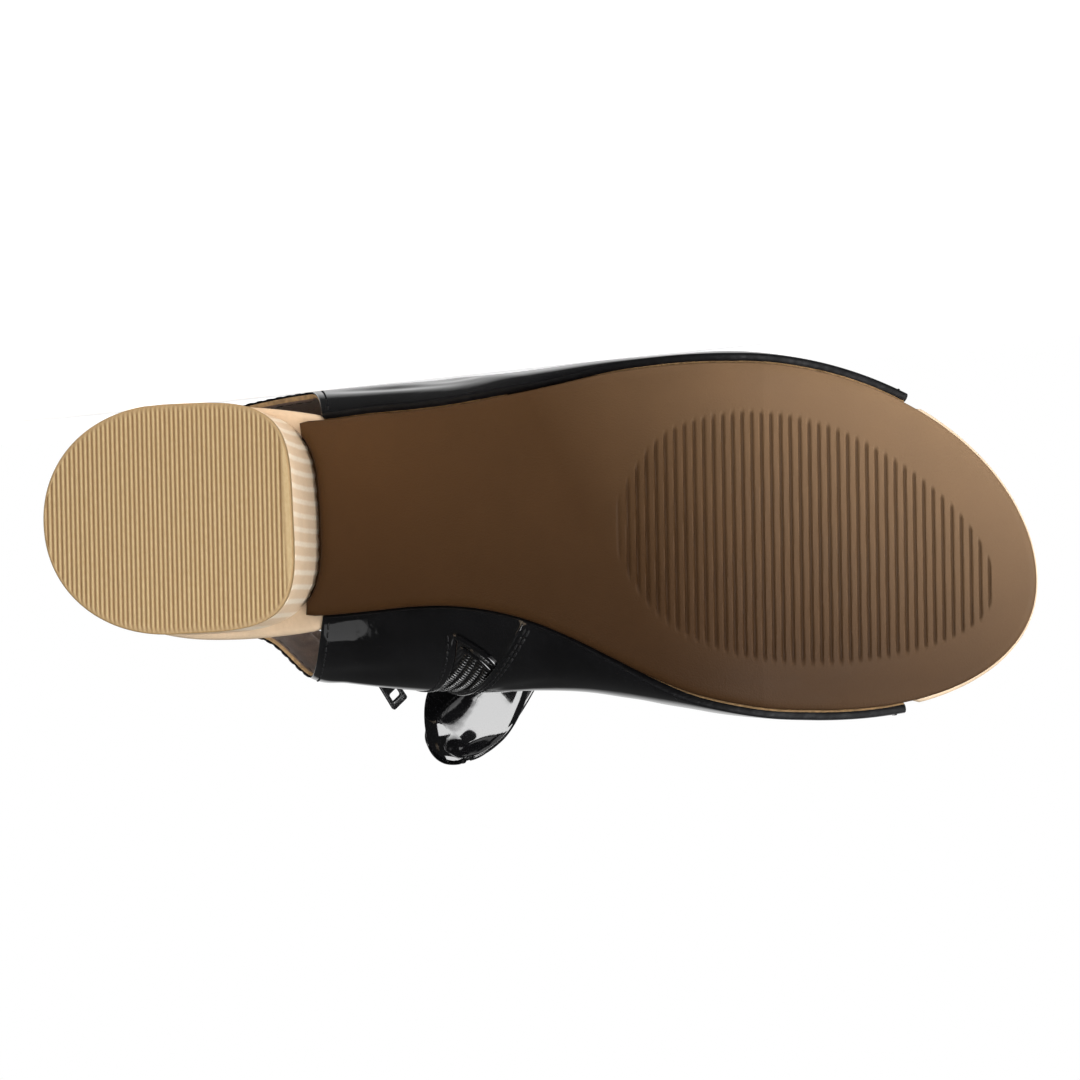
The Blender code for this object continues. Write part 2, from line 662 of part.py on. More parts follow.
def make_zip_band(parent, collection):
    """Tape and coil as one band that fills the slot in the inner quarter."""
    ribs = zip_ribs()
    foot = zip_foot(ribs) + ZIP_FOOT_MARGIN
    lines = foot + (ZIP_TOP_LINE - foot) * np.linspace(0, 1, 16)[None, :]
    points = upper_points(ribs, lines, INNER)
    mesh = new_mesh("zip_band", points.reshape(-1, 3), grid_faces(*points.shape[:2]))
    obj = place("zip_band", mesh, parent, collection)
    add_wall(obj, "tape", ZIP_THICK, 1)
    return obj


def slider_frame():
    """Matrix of the slider's seat: x across the zip, y up along it, z out of the shoe."""
    points = upper_points(zip_ribs(), np.array([SLIDER_LINE - 0.02, SLIDER_LINE, SLIDER_LINE + 0.02]), INNER)
    outward = Vector(outward_normals(points, INNER)[2, 1])
    upward = Vector(points[2, 2] - points[2, 0])
    sideways = upward.cross(outward).normalized()
    upward = outward.cross(sideways).normalized()
    seat = Vector(points[2, 1]) + outward * (ZIP_THICK + 1.5 * GAP)
    matrix = Matrix((sideways, upward, outward)).transposed().to_4x4()
    matrix.translation = seat * MM
    return matrix


def bail_mesh():
    """Flat strip that arches over the slider: two posts sunk in its body and a roof with cut corners."""
    roof = SLIDER_HEIGHT + BAIL_CLEAR + BAIL_STRIP / 2
    post = [(-BAIL_HALF_SPAN, SLIDER_HEIGHT - BAIL_SUNK), (-BAIL_HALF_SPAN, roof - BAIL_CORNER)]
    half = post + [(BAIL_CORNER - BAIL_HALF_SPAN, roof)]
    arch = np.array(half + [(-along, height) for along, height in half[::-1]])
    direction = np.gradient(arch, axis=0)
    direction /= np.linalg.norm(direction, axis=1, keepdims=True)
    aside = np.stack([-direction[:, 1], direction[:, 0]], axis=-1) * BAIL_STRIP / 2
    rings = []
    for centre, out in zip(arch, aside):
        ends = np.array([centre + out, centre - out])
        low = np.column_stack([np.full(2, -BAIL_WIDTH / 2), ends])
        high = np.column_stack([np.full(2, BAIL_WIDTH / 2), ends[::-1]])
        rings.append(np.vstack([low, high]))
    return ring_mesh("zip_bail", rings)


def make_zip_slider(parent, collection, cutters):
    """Slider's tapered body with the bail that arches over it."""
    work = bmesh.new()
    bmesh.ops.create_cube(work, size=MM)
    for vertex in work.verts:
        taper = SLIDER_TAPER if vertex.co.y < 0 else 1.0
        vertex.co.x *= SLIDER_WIDTH * taper
        vertex.co.y *= SLIDER_LENGTH
        vertex.co.z = (vertex.co.z + 0.5 * MM) * SLIDER_HEIGHT
    mesh = bpy.data.meshes.new("zip_slider")
    work.to_mesh(mesh)
    work.free()
    slider = place("zip_slider", mesh, parent, collection)
    slider.matrix_local = slider_frame()
    bevel = slider.modifiers.new("rounded", "BEVEL")
    bevel.width = SLIDER_ROUND * MM
    bevel.segments = 2
    bail = bpy.data.objects.new("zip_bail", bail_mesh())
    bail.parent = parent
    bail.matrix_local = slider_frame()
    bail.hide_render = True
    bail.display_type = "WIRE"
    cutters.objects.link(bail)
    union = slider.modifiers.new("bail", "BOOLEAN")
    union.operation = "UNION"
    union.object = bail
    return slider


def rounded_rectangle(low_half, high_half, low, high, corner):
    """Outline of a plate with rounded corners, between two ends with their own half widths."""
    turn = np.radians(np.linspace(0, 90, 5))
    arc = np.stack([np.cos(turn), np.sin(turn)], axis=-1) * corner
    points = []
    for x_sign, y_sign in [(1, 1), (-1, 1), (-1, -1), (1, -1)]:
        half, y = (high_half, high) if y_sign > 0 else (low_half, low)
        swept = arc if x_sign * y_sign > 0 else arc[::-1]
        centre = np.array([x_sign * (half - corner), y - y_sign * corner])
        points.append(centre + swept * np.array([x_sign, y_sign]))
    return np.vstack(points)


def make_zip_pull_tab(parent, collection):
    """Flat tab with a slot that hooks under the bail and a hole at its end, hung on the bail's axis."""
    hole_end = TAB_LENGTH - TAB_HOLE_FROM_END
    hole_start = hole_end - 2 * TAB_HOLE_HALF
    outlines = [
        rounded_rectangle(TAB_ROOT_HALF, TAB_END_HALF, TAB_BAR_LOW, TAB_LENGTH, TAB_CORNER),
        rounded_rectangle(TAB_SLOT_HALF, TAB_SLOT_HALF, TAB_BAR_HIGH, TAB_SLOT_END, TAB_SLOT_CORNER),
        rounded_rectangle(TAB_HOLE_HALF, TAB_HOLE_HALF, hole_start, hole_end, TAB_HOLE_CORNER),
    ]
    curve = bpy.data.curves.new("zip_pull_tab", "CURVE")
    curve.dimensions = "2D"
    curve.fill_mode = "BOTH"
    curve.extrude = TAB_THICK / 2 * MM
    for outline in outlines:
        spline = curve.splines.new("POLY")
        spline.points.add(len(outline) - 1)
        for point, (x, y) in zip(spline.points, outline):
            point.co = (x * MM, y * MM, 0, 1)
        spline.use_cyclic_u = True
    tab = place("zip_pull_tab", curve, parent, collection)
    hang = Matrix.Translation((0, 0, (SLIDER_HEIGHT + TAB_AXIS_HEIGHT) * MM))
    tab.matrix_local = slider_frame() @ hang @ Matrix.Rotation(math.radians(90 + TAB_TILT), 4, "X")
    return tab


# Bow


def make_bow_knot(parent, collection):
    """Pillow that follows the vamp's outside over the ridge, fullest in the middle."""
    ribs = np.linspace(*KNOT_RIBS, 9)
    lines = np.linspace(KNOT_TOP_LINE, 1, 6)
    outer = upper_points(ribs, lines, OUTER)
    inner = upper_points(ribs, lines[::-1], INNER)
    points = np.concatenate([outer, inner[:, 1:]], axis=1)
    normals = np.cross(np.gradient(points, axis=1), np.gradient(points, axis=0))
    normals /= np.linalg.norm(normals, axis=-1, keepdims=True)
    normals *= np.sign(normals[..., 2:3])
    low = points + normals * (VAMP_WALL + 1.3 * GAP)
    along = np.linspace(-1, 1, len(ribs))[:, None]
    aside = np.linspace(-1, 1, points.shape[1])[None, :]
    full = np.sqrt((1 - along**KNOT_END_POWER) * (1 - aside**KNOT_SIDE_POWER))
    high = low + normals * (KNOT_EDGE + (KNOT_HEIGHT - KNOT_EDGE) * full)[..., None]
    rows, columns = points.shape[:2]
    count = rows * columns
    rim = rim_numbers(rows, columns)
    faces = grid_faces(rows, columns) + grid_faces(rows, columns, count) + ring_faces(rim, rim + count)
    mesh = new_mesh("bow_knot", np.vstack([low.reshape(-1, 3), high.reshape(-1, 3)]), faces)
    face_outwards(mesh)
    return place("bow_knot", mesh, parent, collection)


def loop_points(side):
    """Ribbon of one bow loop: out along the lower layer, round the tip and back along the upper one.

    The angle runs round a long oval whose length lies on the loop's curve and whose width is the fullness.
    """
    angle = np.radians(np.linspace(LOOP_START_ANGLE, 360 - LOOP_START_ANGLE, 25))
    along = (1 - np.cos(angle)) / 2
    height = -LOOP_FULLNESS / 2 * np.sign(np.sin(angle)) * np.abs(np.sin(angle)) ** LOOP_BLUNTNESS
    root, first, second, tip, root_across, tip_across = (np.array(row, float) for row in BOW_CURVES[side])
    centre = bezier(root, first, second, tip, along[:, None])
    ahead = bezier(root, first, second, tip, along[:, None] + 0.01) - centre
    ahead /= np.linalg.norm(ahead, axis=1, keepdims=True)
    width_way = root_across + (tip_across - root_across) * along[:, None]
    width_way -= ahead * (ahead * width_way).sum(axis=1, keepdims=True)
    width_way /= np.linalg.norm(width_way, axis=1, keepdims=True)
    up = np.cross(width_way, ahead) * side
    half = curve_at([row.along for row in LOOP_WIDTHS], [row.half_width for row in LOOP_WIDTHS], along)
    share = np.linspace(-1, 1, 7)
    middle = centre + up * height[:, None]
    return middle[:, None, :] + width_way[:, None, :] * half[:, None, None] * share[None, :, None]


def make_bow_loop(side, name, parent, collection):
    """One loop's ribbon with its thickness."""
    points = loop_points(side)
    mesh = new_mesh(name, points.reshape(-1, 3), grid_faces(*points.shape[:2]))
    obj = place(name, mesh, parent, collection)
    add_wall(obj, "ribbon", LOOP_THICK, 0)
    return obj


# Lying down


def lying_rotation():
    """Turn that lays the shoe on its outer side, sole towards -Y, with the floor's fall taken out."""
    fall_toe = math.tan(math.radians(FLOOR_FALL_TOE))
    fall_ankle = math.tan(math.radians(FLOOR_FALL_ANKLE))
    up = Vector((fall_toe, 1.0, fall_ankle)).normalized()
    shoe_up = Vector((0.0, 0.0, 1.0))
    depth = (shoe_up - up * shoe_up.dot(up)).normalized()
    return Matrix((depth.cross(up), depth, up)).to_4x4()


def lay_down(shoe, objects):
    """Turn the shoe, then put its lowest point on the floor and its middle over the origin."""
    shoe.matrix_world = lying_rotation()
    bpy.context.view_layer.update()
    graph = bpy.context.evaluated_depsgraph_get()
    corners = []
    for obj in objects:
        evaluated = obj.evaluated_get(graph)
        mesh = evaluated.to_mesh()
        points = np.empty(len(mesh.vertices) * 3)
        mesh.vertices.foreach_get("co", points)
        world = np.array(evaluated.matrix_world)
        points = points.reshape(-1, 3) @ world[:3, :3].T + world[:3, 3]
        corners += [points.min(axis=0), points.max(axis=0)]
        evaluated.to_mesh_clear()
    low, high = np.min(corners, axis=0), np.max(corners, axis=0)
    shift = Vector((-(low[0] + high[0]) / 2, -(low[1] + high[1]) / 2, -low[2]))
    shoe.matrix_world = Matrix.Translation(shift) @ lying_rotation()


def main():
    clear_scene()
    collection = new_collection("heeled_sandal")
    cutters = new_collection("cutters")
    shoe = bpy.data.objects.new("shoe", None)
    collection.objects.link(shoe)
    objects = [
        make_top_lift(shoe, collection),
        make_heel_block(shoe, collection),
        make_outsole(shoe, collection),
        make_insole(shoe, collection),
        make_upper(shoe, collection),
        make_zip_band(shoe, collection),
        make_zip_slider(shoe, collection, cutters),
        make_zip_pull_tab(shoe, collection),
        make_bow_knot(shoe, collection),
        make_bow_loop(INNER, "bow_loop_medial", shoe, collection),
        make_bow_loop(OUTER, "bow_loop_lateral", shoe, collection),
    ]
    lay_down(shoe, objects)


main()
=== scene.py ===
"""Heeled sandal for the right foot, lying on its outer side: the finished surfaces around its frame.

Shapes are worked out in the shoe's own millimetres, x from the back of the heel to the toe, y to the
inner side of the foot and z up from the ground that the sandal would stand on, and then carried into
the frame. Each vertex keeps its shoe position as an attribute, which the finishes read.
"""

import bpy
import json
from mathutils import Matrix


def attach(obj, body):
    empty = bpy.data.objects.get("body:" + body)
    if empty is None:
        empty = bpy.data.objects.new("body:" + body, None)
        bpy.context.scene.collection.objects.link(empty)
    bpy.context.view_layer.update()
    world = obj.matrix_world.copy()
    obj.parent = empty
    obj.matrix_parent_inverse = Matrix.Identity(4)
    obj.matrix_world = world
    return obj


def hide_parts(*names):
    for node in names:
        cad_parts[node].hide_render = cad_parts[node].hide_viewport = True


bl_info = {
    "name": "Heeled Sandal",
    "version": (1, 0, 0),
    "blender": (4, 5, 0),
    "location": "3D View > Sidebar > Sandal",
    "description": "Builds the finished surfaces of an open-toe heeled sandal around its frame",
    "category": "Object",
}

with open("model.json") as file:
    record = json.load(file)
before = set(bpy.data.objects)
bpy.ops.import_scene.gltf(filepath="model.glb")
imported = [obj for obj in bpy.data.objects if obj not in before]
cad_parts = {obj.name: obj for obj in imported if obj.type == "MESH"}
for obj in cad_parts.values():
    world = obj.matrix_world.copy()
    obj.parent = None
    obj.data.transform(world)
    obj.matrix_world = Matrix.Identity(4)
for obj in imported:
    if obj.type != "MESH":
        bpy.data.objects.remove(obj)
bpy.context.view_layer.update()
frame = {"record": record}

import json
import math
from collections import namedtuple

import bmesh
import bpy
import numpy as np
from bpy.props import FloatProperty, FloatVectorProperty, PointerProperty
from mathutils import Matrix, Vector

MM = 0.001
OUTER, INNER = -1, 1

# Where the record's two tread mounts lie in the shoe
HEEL_TREAD_POINT = np.array([29.5, -1.8, 0.0])
BALL_TREAD_POINT = np.array([181.0, 3.0, 0.0])

# Sole and heel, close to the solids
GAP = 0.3
TOE_TIP = (236.0, 12.6)
TOE_START = 183.0
HEEL_LINE_Y = -1.8
HEEL_TURN = -2.8
LIFT_THICK = 5.5
OUTSOLE_THICK = 5.0
INSOLE_THICK = 4.5
BREAST_HALF = 24.5
BREAST_FADE = 30.0
BREAST_CLEAR = 0.8
ProfileRow = namedtuple("ProfileRow", "x height")
SOLE_PROFILE = [
    ProfileRow(-8, 67.2),
    ProfileRow(10, 66.4),
    ProfileRow(30, 64.6),
    ProfileRow(46, 62.2),
    ProfileRow(60, 58.2),
    ProfileRow(75, 51.6),
    ProfileRow(90, 43.1),
    ProfileRow(105, 33.8),
    ProfileRow(120, 24.6),
    ProfileRow(135, 16.2),
    ProfileRow(148, 10.0),
    ProfileRow(160, 6.4),
    ProfileRow(170, 5.0),
    ProfileRow(190, 5.0),
    ProfileRow(205, 6.2),
    ProfileRow(220, 8.9),
    ProfileRow(238, 13.8),
]
EdgeRow = namedtuple("EdgeRow", "x outer inner")
OUTSOLE_EDGE = [
    EdgeRow(50, -27.2, 22.4),
    EdgeRow(64, -27.9, 21.6),
    EdgeRow(75, -29.0, 20.5),
    EdgeRow(85, -29.6, 19.4),
    EdgeRow(95, -30.5, 19.1),
    EdgeRow(105, -32.0, 20.1),
    EdgeRow(115, -33.6, 22.5),
    EdgeRow(125, -35.5, 26.4),
    EdgeRow(134, -37.2, 30.7),
    EdgeRow(144, -38.3, 35.6),
    EdgeRow(153, -38.9, 39.2),
    EdgeRow(163, -39.0, 41.6),
    EdgeRow(173, -38.6, 43.0),
    EdgeRow(183, -37.3, 43.3),
]
ToeArc = namedtuple("ToeArc", "x y power")
TOE_ARCS = {OUTER: ToeArc(165, -39.0, 1.88), INNER: ToeArc(TOE_START, 43.3, 2.2)}
HeelRow = namedtuple("HeelRow", "middle back front half_width front_power")
HEEL_TREAD = HeelRow(29.5, 29.5, 29.2, 27.2, 4.2)
HEEL_SEAT = HeelRow(28.0, 31.0, 32.8, 28.6, 3.5)
HEEL_BACK_POWER = 2.1
HEEL_PINCH = 0.9
HEEL_CAP_RINGS = (0.8, 0.55, 0.3)
HEEL_RINGS, HEEL_POINTS = 61, 260
BREAST_START, BREAST_RUN, BAND_SWELL = 0.8, 4.0, 0.12
INSOLE_BACK = -5.0
INSOLE_HEEL_MIDDLE = 34.0
INSOLE_HEEL_HALF = 30.0
INSOLE_HEEL_POWER = 2.2
INSOLE_HEEL_TAPER = 2.6
INSOLE_BARE_HEEL_END = 61.3
INSOLE_BARE_TOE_START = 205.5
INSOLE_INSET = 0.2
INSOLE_TOE_RIM = 1.2

# Rims of the flat layers, from the lower to the upper face: reach out from the inset plan and share of the
# height
EdgeRound = namedtuple("EdgeRound", "out share")
SOLE_INSET = 1.9
SOLE_RIM = [
    EdgeRound(0.0, 0.0),
    EdgeRound(0.7, 0.03),
    EdgeRound(1.2, 0.07),
    EdgeRound(1.6, 0.14),
    EdgeRound(1.82, 0.24),
    EdgeRound(1.9, 0.36),
    EdgeRound(1.9, 0.84),
    EdgeRound(1.8, 0.95),
    EdgeRound(1.5, 1.0),
]
FOOTBED_INSET = 1.6
FOOTBED_RIM = [
    EdgeRound(0.0, 0.0),
    EdgeRound(0.9, 0.06),
    EdgeRound(1.4, 0.22),
    EdgeRound(1.6, 0.48),
    EdgeRound(1.45, 0.74),
    EdgeRound(0.95, 0.93),
    EdgeRound(0.0, 1.0),
]
TIP_INSET = 0.5
TIP_RIM = [
    EdgeRound(0.0, 0.0),
    EdgeRound(0.28, 0.015),
    EdgeRound(0.44, 0.045),
    EdgeRound(0.5, 0.1),
    EdgeRound(0.5, 0.97),
    EdgeRound(0.35, 1.0),
]
TIP_SMOOTH_FRONT = 1.3
TIP_CROWD_BACK, TIP_CROWD_FRONT = 0.94, 0.96
TIP_ROWS, TIP_END_ROWS, TIP_COLUMNS = 320, 14, 41
TIP_RIDGE_POWER = 0.8
TIP_EDGE_FADE, TIP_FRONT_FADE, TIP_FRONT_PALER = 0.35, 0.5, 0.4
TIP_RIB_SLANT = 0.024
SOLE_RIB_SLANT = 0.014
GROOVE_SHARE, GROOVE_SOFT = 0.36, 0.14
FIELD_FADE = 1.1
FIELD_BACK, FIELD_BACK_RUN, FIELD_BACK_SHARE = 135.0, 5.0, 0.3
SOLE_FINE_START, SOLE_FINE_END = 132.0, 227.0
SOLE_WAIST_ROWS, SOLE_FINE_ROWS, SOLE_TOE_ROWS, SOLE_COLUMNS = 80, 430, 24, 91
SOLE_FIT_ROUNDS = 4
FOOTBED_TOE_START = 200.0
FOOTBED_END_ROWS, FOOTBED_ROWS, FOOTBED_COLUMNS = 50, 150, 25
RELIEF_FACE = 0.5

# Edge of the ribbed field under the ball of the foot, clockwise from its back end
FieldPoint = namedtuple("FieldPoint", "x y")
FIELD_MIDDLE = FieldPoint(180.0, 3.0)
FIELD_EDGE = [
    FieldPoint(133.8, -0.2),
    FieldPoint(139.0, -13.5),
    FieldPoint(148.0, -23.4),
    FieldPoint(166.0, -27.6),
    FieldPoint(184.6, -24.5),
    FieldPoint(200.4, -16.8),
    FieldPoint(213.5, -7.0),
    FieldPoint(222.0, 3.0),
    FieldPoint(225.4, 12.0),
    FieldPoint(222.6, 21.7),
    FieldPoint(208.2, 28.8),
    FieldPoint(186.2, 32.4),
    FieldPoint(166.0, 30.8),
    FieldPoint(149.4, 24.3),
    FieldPoint(139.6, 14.2),
]

# Ribs of the upper's lining side, from the toe opening back along the foot and round the heel strap.
# wide_out and wide_in are y at the widest point, mid and open give the two tops as mid - open and
# mid + open, and roof says how level a rib arrives at its top. The collar beside the heel seat lies
# up to about 5 mm further in than in the solids, on the inner side.
RibRow = namedtuple("RibRow", "foot wide top z_wide z_top wide_out wide_in mid open roof")
RIBS = [
    RibRow(203.5, 203, 197.5, 20, 40.5, -30.1, 42.3, 6, 0, 1),
    RibRow(193, 192, 187, 20.5, 44, -34.3, 43.6, 6, 0, 1),
    RibRow(181, 180, 174.5, 21, 49, -38.0, 43.9, 6, 0, 1),
    RibRow(165, 163, 157, 22.5, 58.5, -40.4, 42.9, 5.5, 0, 1),
    RibRow(150, 146, 139, 29, 71, -39.7, 40.4, 5, 0, 1),
    RibRow(137, 130, 122.5, 39, 86, -38.9, 38.2, 4, 0, 1),
    RibRow(127, 116.5, 108, 50, 99.5, -37.8, 38.1, 3, 0, 1),
    RibRow(120, 105.5, 90, 60, 107.5, -37.1, 39.0, 1.8, 12.8, 0.6),
    RibRow(114.5, 96, 66, 69, 113.5, -36.9, 39.8, 1.5, 21.5, 0.2),
    RibRow(96, 88.5, 56, 75, 116, -36.4, 40.0, 1.5, 25, 0),
    RibRow(81, 77.5, 52.6, 80, 117, -35.8, 39.2, 1.2, 26.8, 0),
    RibRow(70, 66.5, 50.4, 86, 117.5, -35.1, 38.2, -1.0, 24.3, 0),
    RibRow(62.8, 57.6, 48.5, 89, 117.5, -34.4, 37.2, -1.0, 24.2, 0),
    RibRow(56, 47, 42.5, 91.5, 118.2, -32.9, 28.2, -0.9, 23.5, 0),
    RibRow(50, 36, 33.5, 93.5, 117.2, -30.4, 24.6, -1.4, 21.2, 0),
    RibRow(44, 23, 24.5, 95, 116.5, -25.4, 19.8, -1.7, 17.5, 0),
    RibRow(38, 11, 17, 96, 116, -17.0, 12.4, -2, 11.6, 0),
    RibRow(32, 4.5, 12.6, 96.5, 116, -8.8, 4.6, -2.1, 5.6, 0),
    RibRow(26, 3, 11.5, 96.5, 116, -2.1, -2.1, -2.1, 0, 0),
]
THROAT_RIB, SEAM_RIB, ZIP_RIB, REAR_RIB, BACK_RIB = 6, 8, 9, 12, 18
ZIP_MIDDLE_RIB = (SEAM_RIB + ZIP_RIB) / 2
SEAM_STEP = 0.04
FOOT_OUT = 0.1
FOOT_FLARE, FOOT_RISE = 0.5, 0.12
WIDE_PULL = 0.5
TOP_LEAN, ROOF_REACH, COLLAR_PULL = 0.35, 0.2, 0.45
WIDE_LINE = 0.5
ZIP_FOOT_LINE = 0.25
ZIP_TOP_LINE = 0.985
ZipFootRow = namedtuple("ZipFootRow", "rib line")
ZIP_FOOT = [
    ZipFootRow(5, ZIP_FOOT_LINE),
    ZipFootRow(SEAM_RIB, 0.225),
    ZipFootRow(ZIP_RIB, 0.1),
    ZipFootRow(11, ZIP_FOOT_LINE),
]
WALL, VAMP_WALL = 1.8, 2.4
RIM_ROWS = 6
RIM_BULGE = 0.45

# Finishes of the upper, and the number of the finish for each row of its rim, from outside to inside
UPPER_FINISHES = ("patent", "lining", "cut_edge", "edge_paint")
STRAP_EDGE_SLOTS = (0, 0, 2, 2, 1, 1)
SOLE_EDGE_SLOTS = (3, 3, 3, 3, 2, 2)

# Where the upper's fine grid lines stand, how many steps lie between those places, and how near counts as
# the same place
UPPER_RIB_STOPS = (0, SEAM_RIB, SEAM_RIB + SEAM_STEP, ZIP_RIB, REAR_RIB, BACK_RIB)
UPPER_RIB_STEPS = (96, 1, 14, 38, 60)
UPPER_LINE_STOPS = (0, ZIP_FOOT_LINE, WIDE_LINE, 1)
UPPER_LINE_STEPS = (12, 14, 38)
SAME = 1e-6
SEAM_REACH = 0.3

# Soft troughs (depth over 0) and ridges (depth under 0) of the upper: middle and reach along ribs and lines
Crease = namedtuple("Crease", "side rib line rib_reach line_reach slant depth")
CREASES = [
    Crease(INNER, 10.4, 0.30, 1.3, 0.05, 0.02, 0.5),
    Crease(INNER, 10.9, 0.41, 1.0, 0.04, -0.02, -0.35),
    Crease(INNER, 6.6, 0.34, 0.9, 0.05, 0.05, 0.35),
    Crease(INNER, 4.2, 0.72, 0.22, 0.25, 0.0, 0.45),
    Crease(INNER, 3.5, 0.66, 0.2, 0.2, 0.0, 0.35),
    Crease(OUTER, 10.3, 0.28, 1.2, 0.05, 0.03, 0.5),
    Crease(OUTER, 8.6, 0.36, 0.8, 0.05, -0.03, 0.4),
    Crease(OUTER, 4.3, 0.7, 0.22, 0.25, 0.0, 0.45),
    Crease(OUTER, 3.6, 0.64, 0.2, 0.2, 0.0, 0.35),
    Crease(OUTER, 14.6, 0.72, 0.5, 0.1, 0.0, 0.3),
]

# Slider, bail and pull tab, close to the solids
SLIDER_LINE = 0.88
SLIDER_LENGTH, SLIDER_WIDTH, SLIDER_HEIGHT = 8.6, 5.0, 2.6
SLIDER_TAPER = 0.72
SLIDER_POINTS, SLIDER_SQUARE, SLIDER_STEP = 64, 0.45, 0.02
ZIP_THICK = 1.3
PlateRow = namedtuple("PlateRow", "inset height")
SLIDER_PLATES = [
    PlateRow(0.5, 0.0),
    PlateRow(0.12, 0.12),
    PlateRow(0.0, 0.4),
    PlateRow(0.0, 0.85),
    PlateRow(0.12, 0.98),
    PlateRow(0.55, 1.05),
    PlateRow(0.55, 1.5),
    PlateRow(0.12, 1.57),
    PlateRow(0.0, 1.7),
    PlateRow(0.0, 2.2),
    PlateRow(0.14, 2.47),
    PlateRow(0.6, 2.6),
]
BAIL_HALF_SPAN, BAIL_CLEAR, BAIL_STRIP, BAIL_WIDTH, BAIL_SUNK, BAIL_CORNER = 2.9, 2.3, 0.8, 1.6, 0.8, 1.0
BAIL_CORNER_STEPS, BAIL_SIDES, BAIL_SQUARE = 9, 16, 0.5
TAB_LENGTH, TAB_TILT, TAB_THICK, TAB_AXIS_HEIGHT = 19.5, 6.0, 1.0, 1.15
TAB_ROOT_HALF, TAB_END_HALF = 2.3, 2.7
TAB_BAR_LOW, TAB_BAR_HIGH, TAB_SLOT_END, TAB_SLOT_HALF = -0.6, 0.5, 4.7, 1.25
TAB_HOLE_HALF, TAB_HOLE_FROM_END = 1.5, 2.2
TAB_HOLE_CORNER, TAB_CORNER, TAB_SLOT_CORNER, TAB_BEVEL = 0.6, 0.5, 0.3, 0.18
TAB_BEVEL_STEPS, TAB_CORNER_STEPS, TAB_WELD = 2, 7, 1e-4

# Bow: the band lies on the ridge between two ribs, and each loop follows a curve out from it
KNOT_RIBS = (4.95, 5.75)
KNOT_TOP_LINE = 0.94
KNOT_HEIGHT, KNOT_EDGE = 6.5, 1.4
KNOT_END_POWER, KNOT_SIDE_POWER = 4, 6
KNOT_PLEATS, KNOT_PLEAT_DEPTH, KNOT_PLEAT_SLANT = 3, 0.9, 0.25
KNOT_ROWS, KNOT_LINES = 61, 24
BowCurve = namedtuple("BowCurve", "root first second tip root_across tip_across")
BOW_CURVES = {
    INNER: BowCurve(
        root=(120, 9.2, 98),
        first=(113.5, 24, 112.5),
        second=(102, 44, 108),
        tip=(92.5, 58.5, 96),
        root_across=(0.7, 0.1, -0.7),
        tip_across=(0.92, 0.38, -0.1),
    ),
    OUTER: BowCurve(
        root=(120, -3.8, 98),
        first=(114, -16, 114),
        second=(103, -37, 107),
        tip=(95, -37.5, 126),
        root_across=(0.7, -0.1, -0.7),
        tip_across=(0.95, -0.1, 0.3),
    ),
}
LoopRow = namedtuple("LoopRow", "along half_width")
LOOP_WIDTHS = [
    LoopRow(0.0, 6.0),
    LoopRow(0.25, 8.8),
    LoopRow(0.5, 11.6),
    LoopRow(0.7, 12.3),
    LoopRow(0.85, 11.0),
    LoopRow(0.95, 8.0),
    LoopRow(1.0, 5.2),
]
LOOP_THICK, LOOP_RIM_BULGE = 1.6, 0.5
LOOP_FULLNESS_LOW, LOOP_FULLNESS_HIGH = 11.5, 9.0
LOOP_BLUNTNESS_LOW, LOOP_BLUNTNESS_HIGH = 1.4, 0.7
LOOP_START_ANGLE = 28.0
LOOP_STEPS, LOOP_COLUMNS, COLUMN_CROWDING = 141, 61, 0.35
LOOP_TIP_ROUND, ROUND_START = 2.6, 0.75
LOOP_NARROWER = 0.14
LOOP_CLEAR, CLEAR_SOFT = 1.4, 0.5
LOOP_TIP_PINCH, PINCH_START, PINCH_RUN, PINCH_SHARE = 0.6, 0.78, 0.15, 0.1
HEM_DROP, HEM_THICKER, HEM_SOFT = 0.9, 0.24, 0.35
HEM_END, HEM_END_RUN = 0.97, 0.12
FOLD_TIP_ALONG, FOLD_TIP_SHARE, FOLD_SLOPE, FOLD_SOFT = 0.95, -0.75, 2.7, 0.07
FOLD_LEVEL, FOLD_POWER, FOLD_ROOT_RUN, FOLD_TIP_RUN = 0.6, 0.5, 0.35, 0.1

# The photo's viewpoint: the eye in the shoe's frame, the point it looks at, and the size of a pixel there
EYE_POINT = np.array([117.3, 3.07, -750.0])
LOOK_POINT = np.array([117.3, 3.07, 0.0])
PIXEL_MM, IMAGE_PIXELS, SENSOR_MM = 0.236, 1080, 36.0
EYE_LOWEST = 0.006
BACKDROP_MIRRORED = 0.55
FLOOR_HALF = 12.0
LIGHT_TARGET = (0.0, -0.02, 0.05)
LightRow = namedtuple("LightRow", "name place wide high roll")
LIGHTS = [
    LightRow("key", (-0.15, -1.25, 0.075), 0.75, 0.75, 0.0),
    LightRow("side", (-1.2, -0.5, 0.35), 0.6, 0.7, 0.0),
    LightRow("top", (-0.45, -0.5, 1.0), 0.5, 0.5, 0.0),
    LightRow("patch", (0.63, -0.22, 0.86), 0.43, 0.12, 49.0),
]


# Settings that a user would change


def length(name, description, millimetres):
    """Property for a length, given in millimetres."""
    return FloatProperty(name=name, description=description, default=millimetres * MM, min=0.0, unit="LENGTH")


def colour(name, description, red, green, blue):
    """Property for a linear colour."""
    return FloatVectorProperty(
        name=name, description=description, subtype="COLOR", size=3, min=0.0, max=1.0,
        default=(red, green, blue),
    )


def factor(name, description, value, high):
    """Property for a plain number."""
    return FloatProperty(name=name, description=description, default=value, min=0.0, max=high)


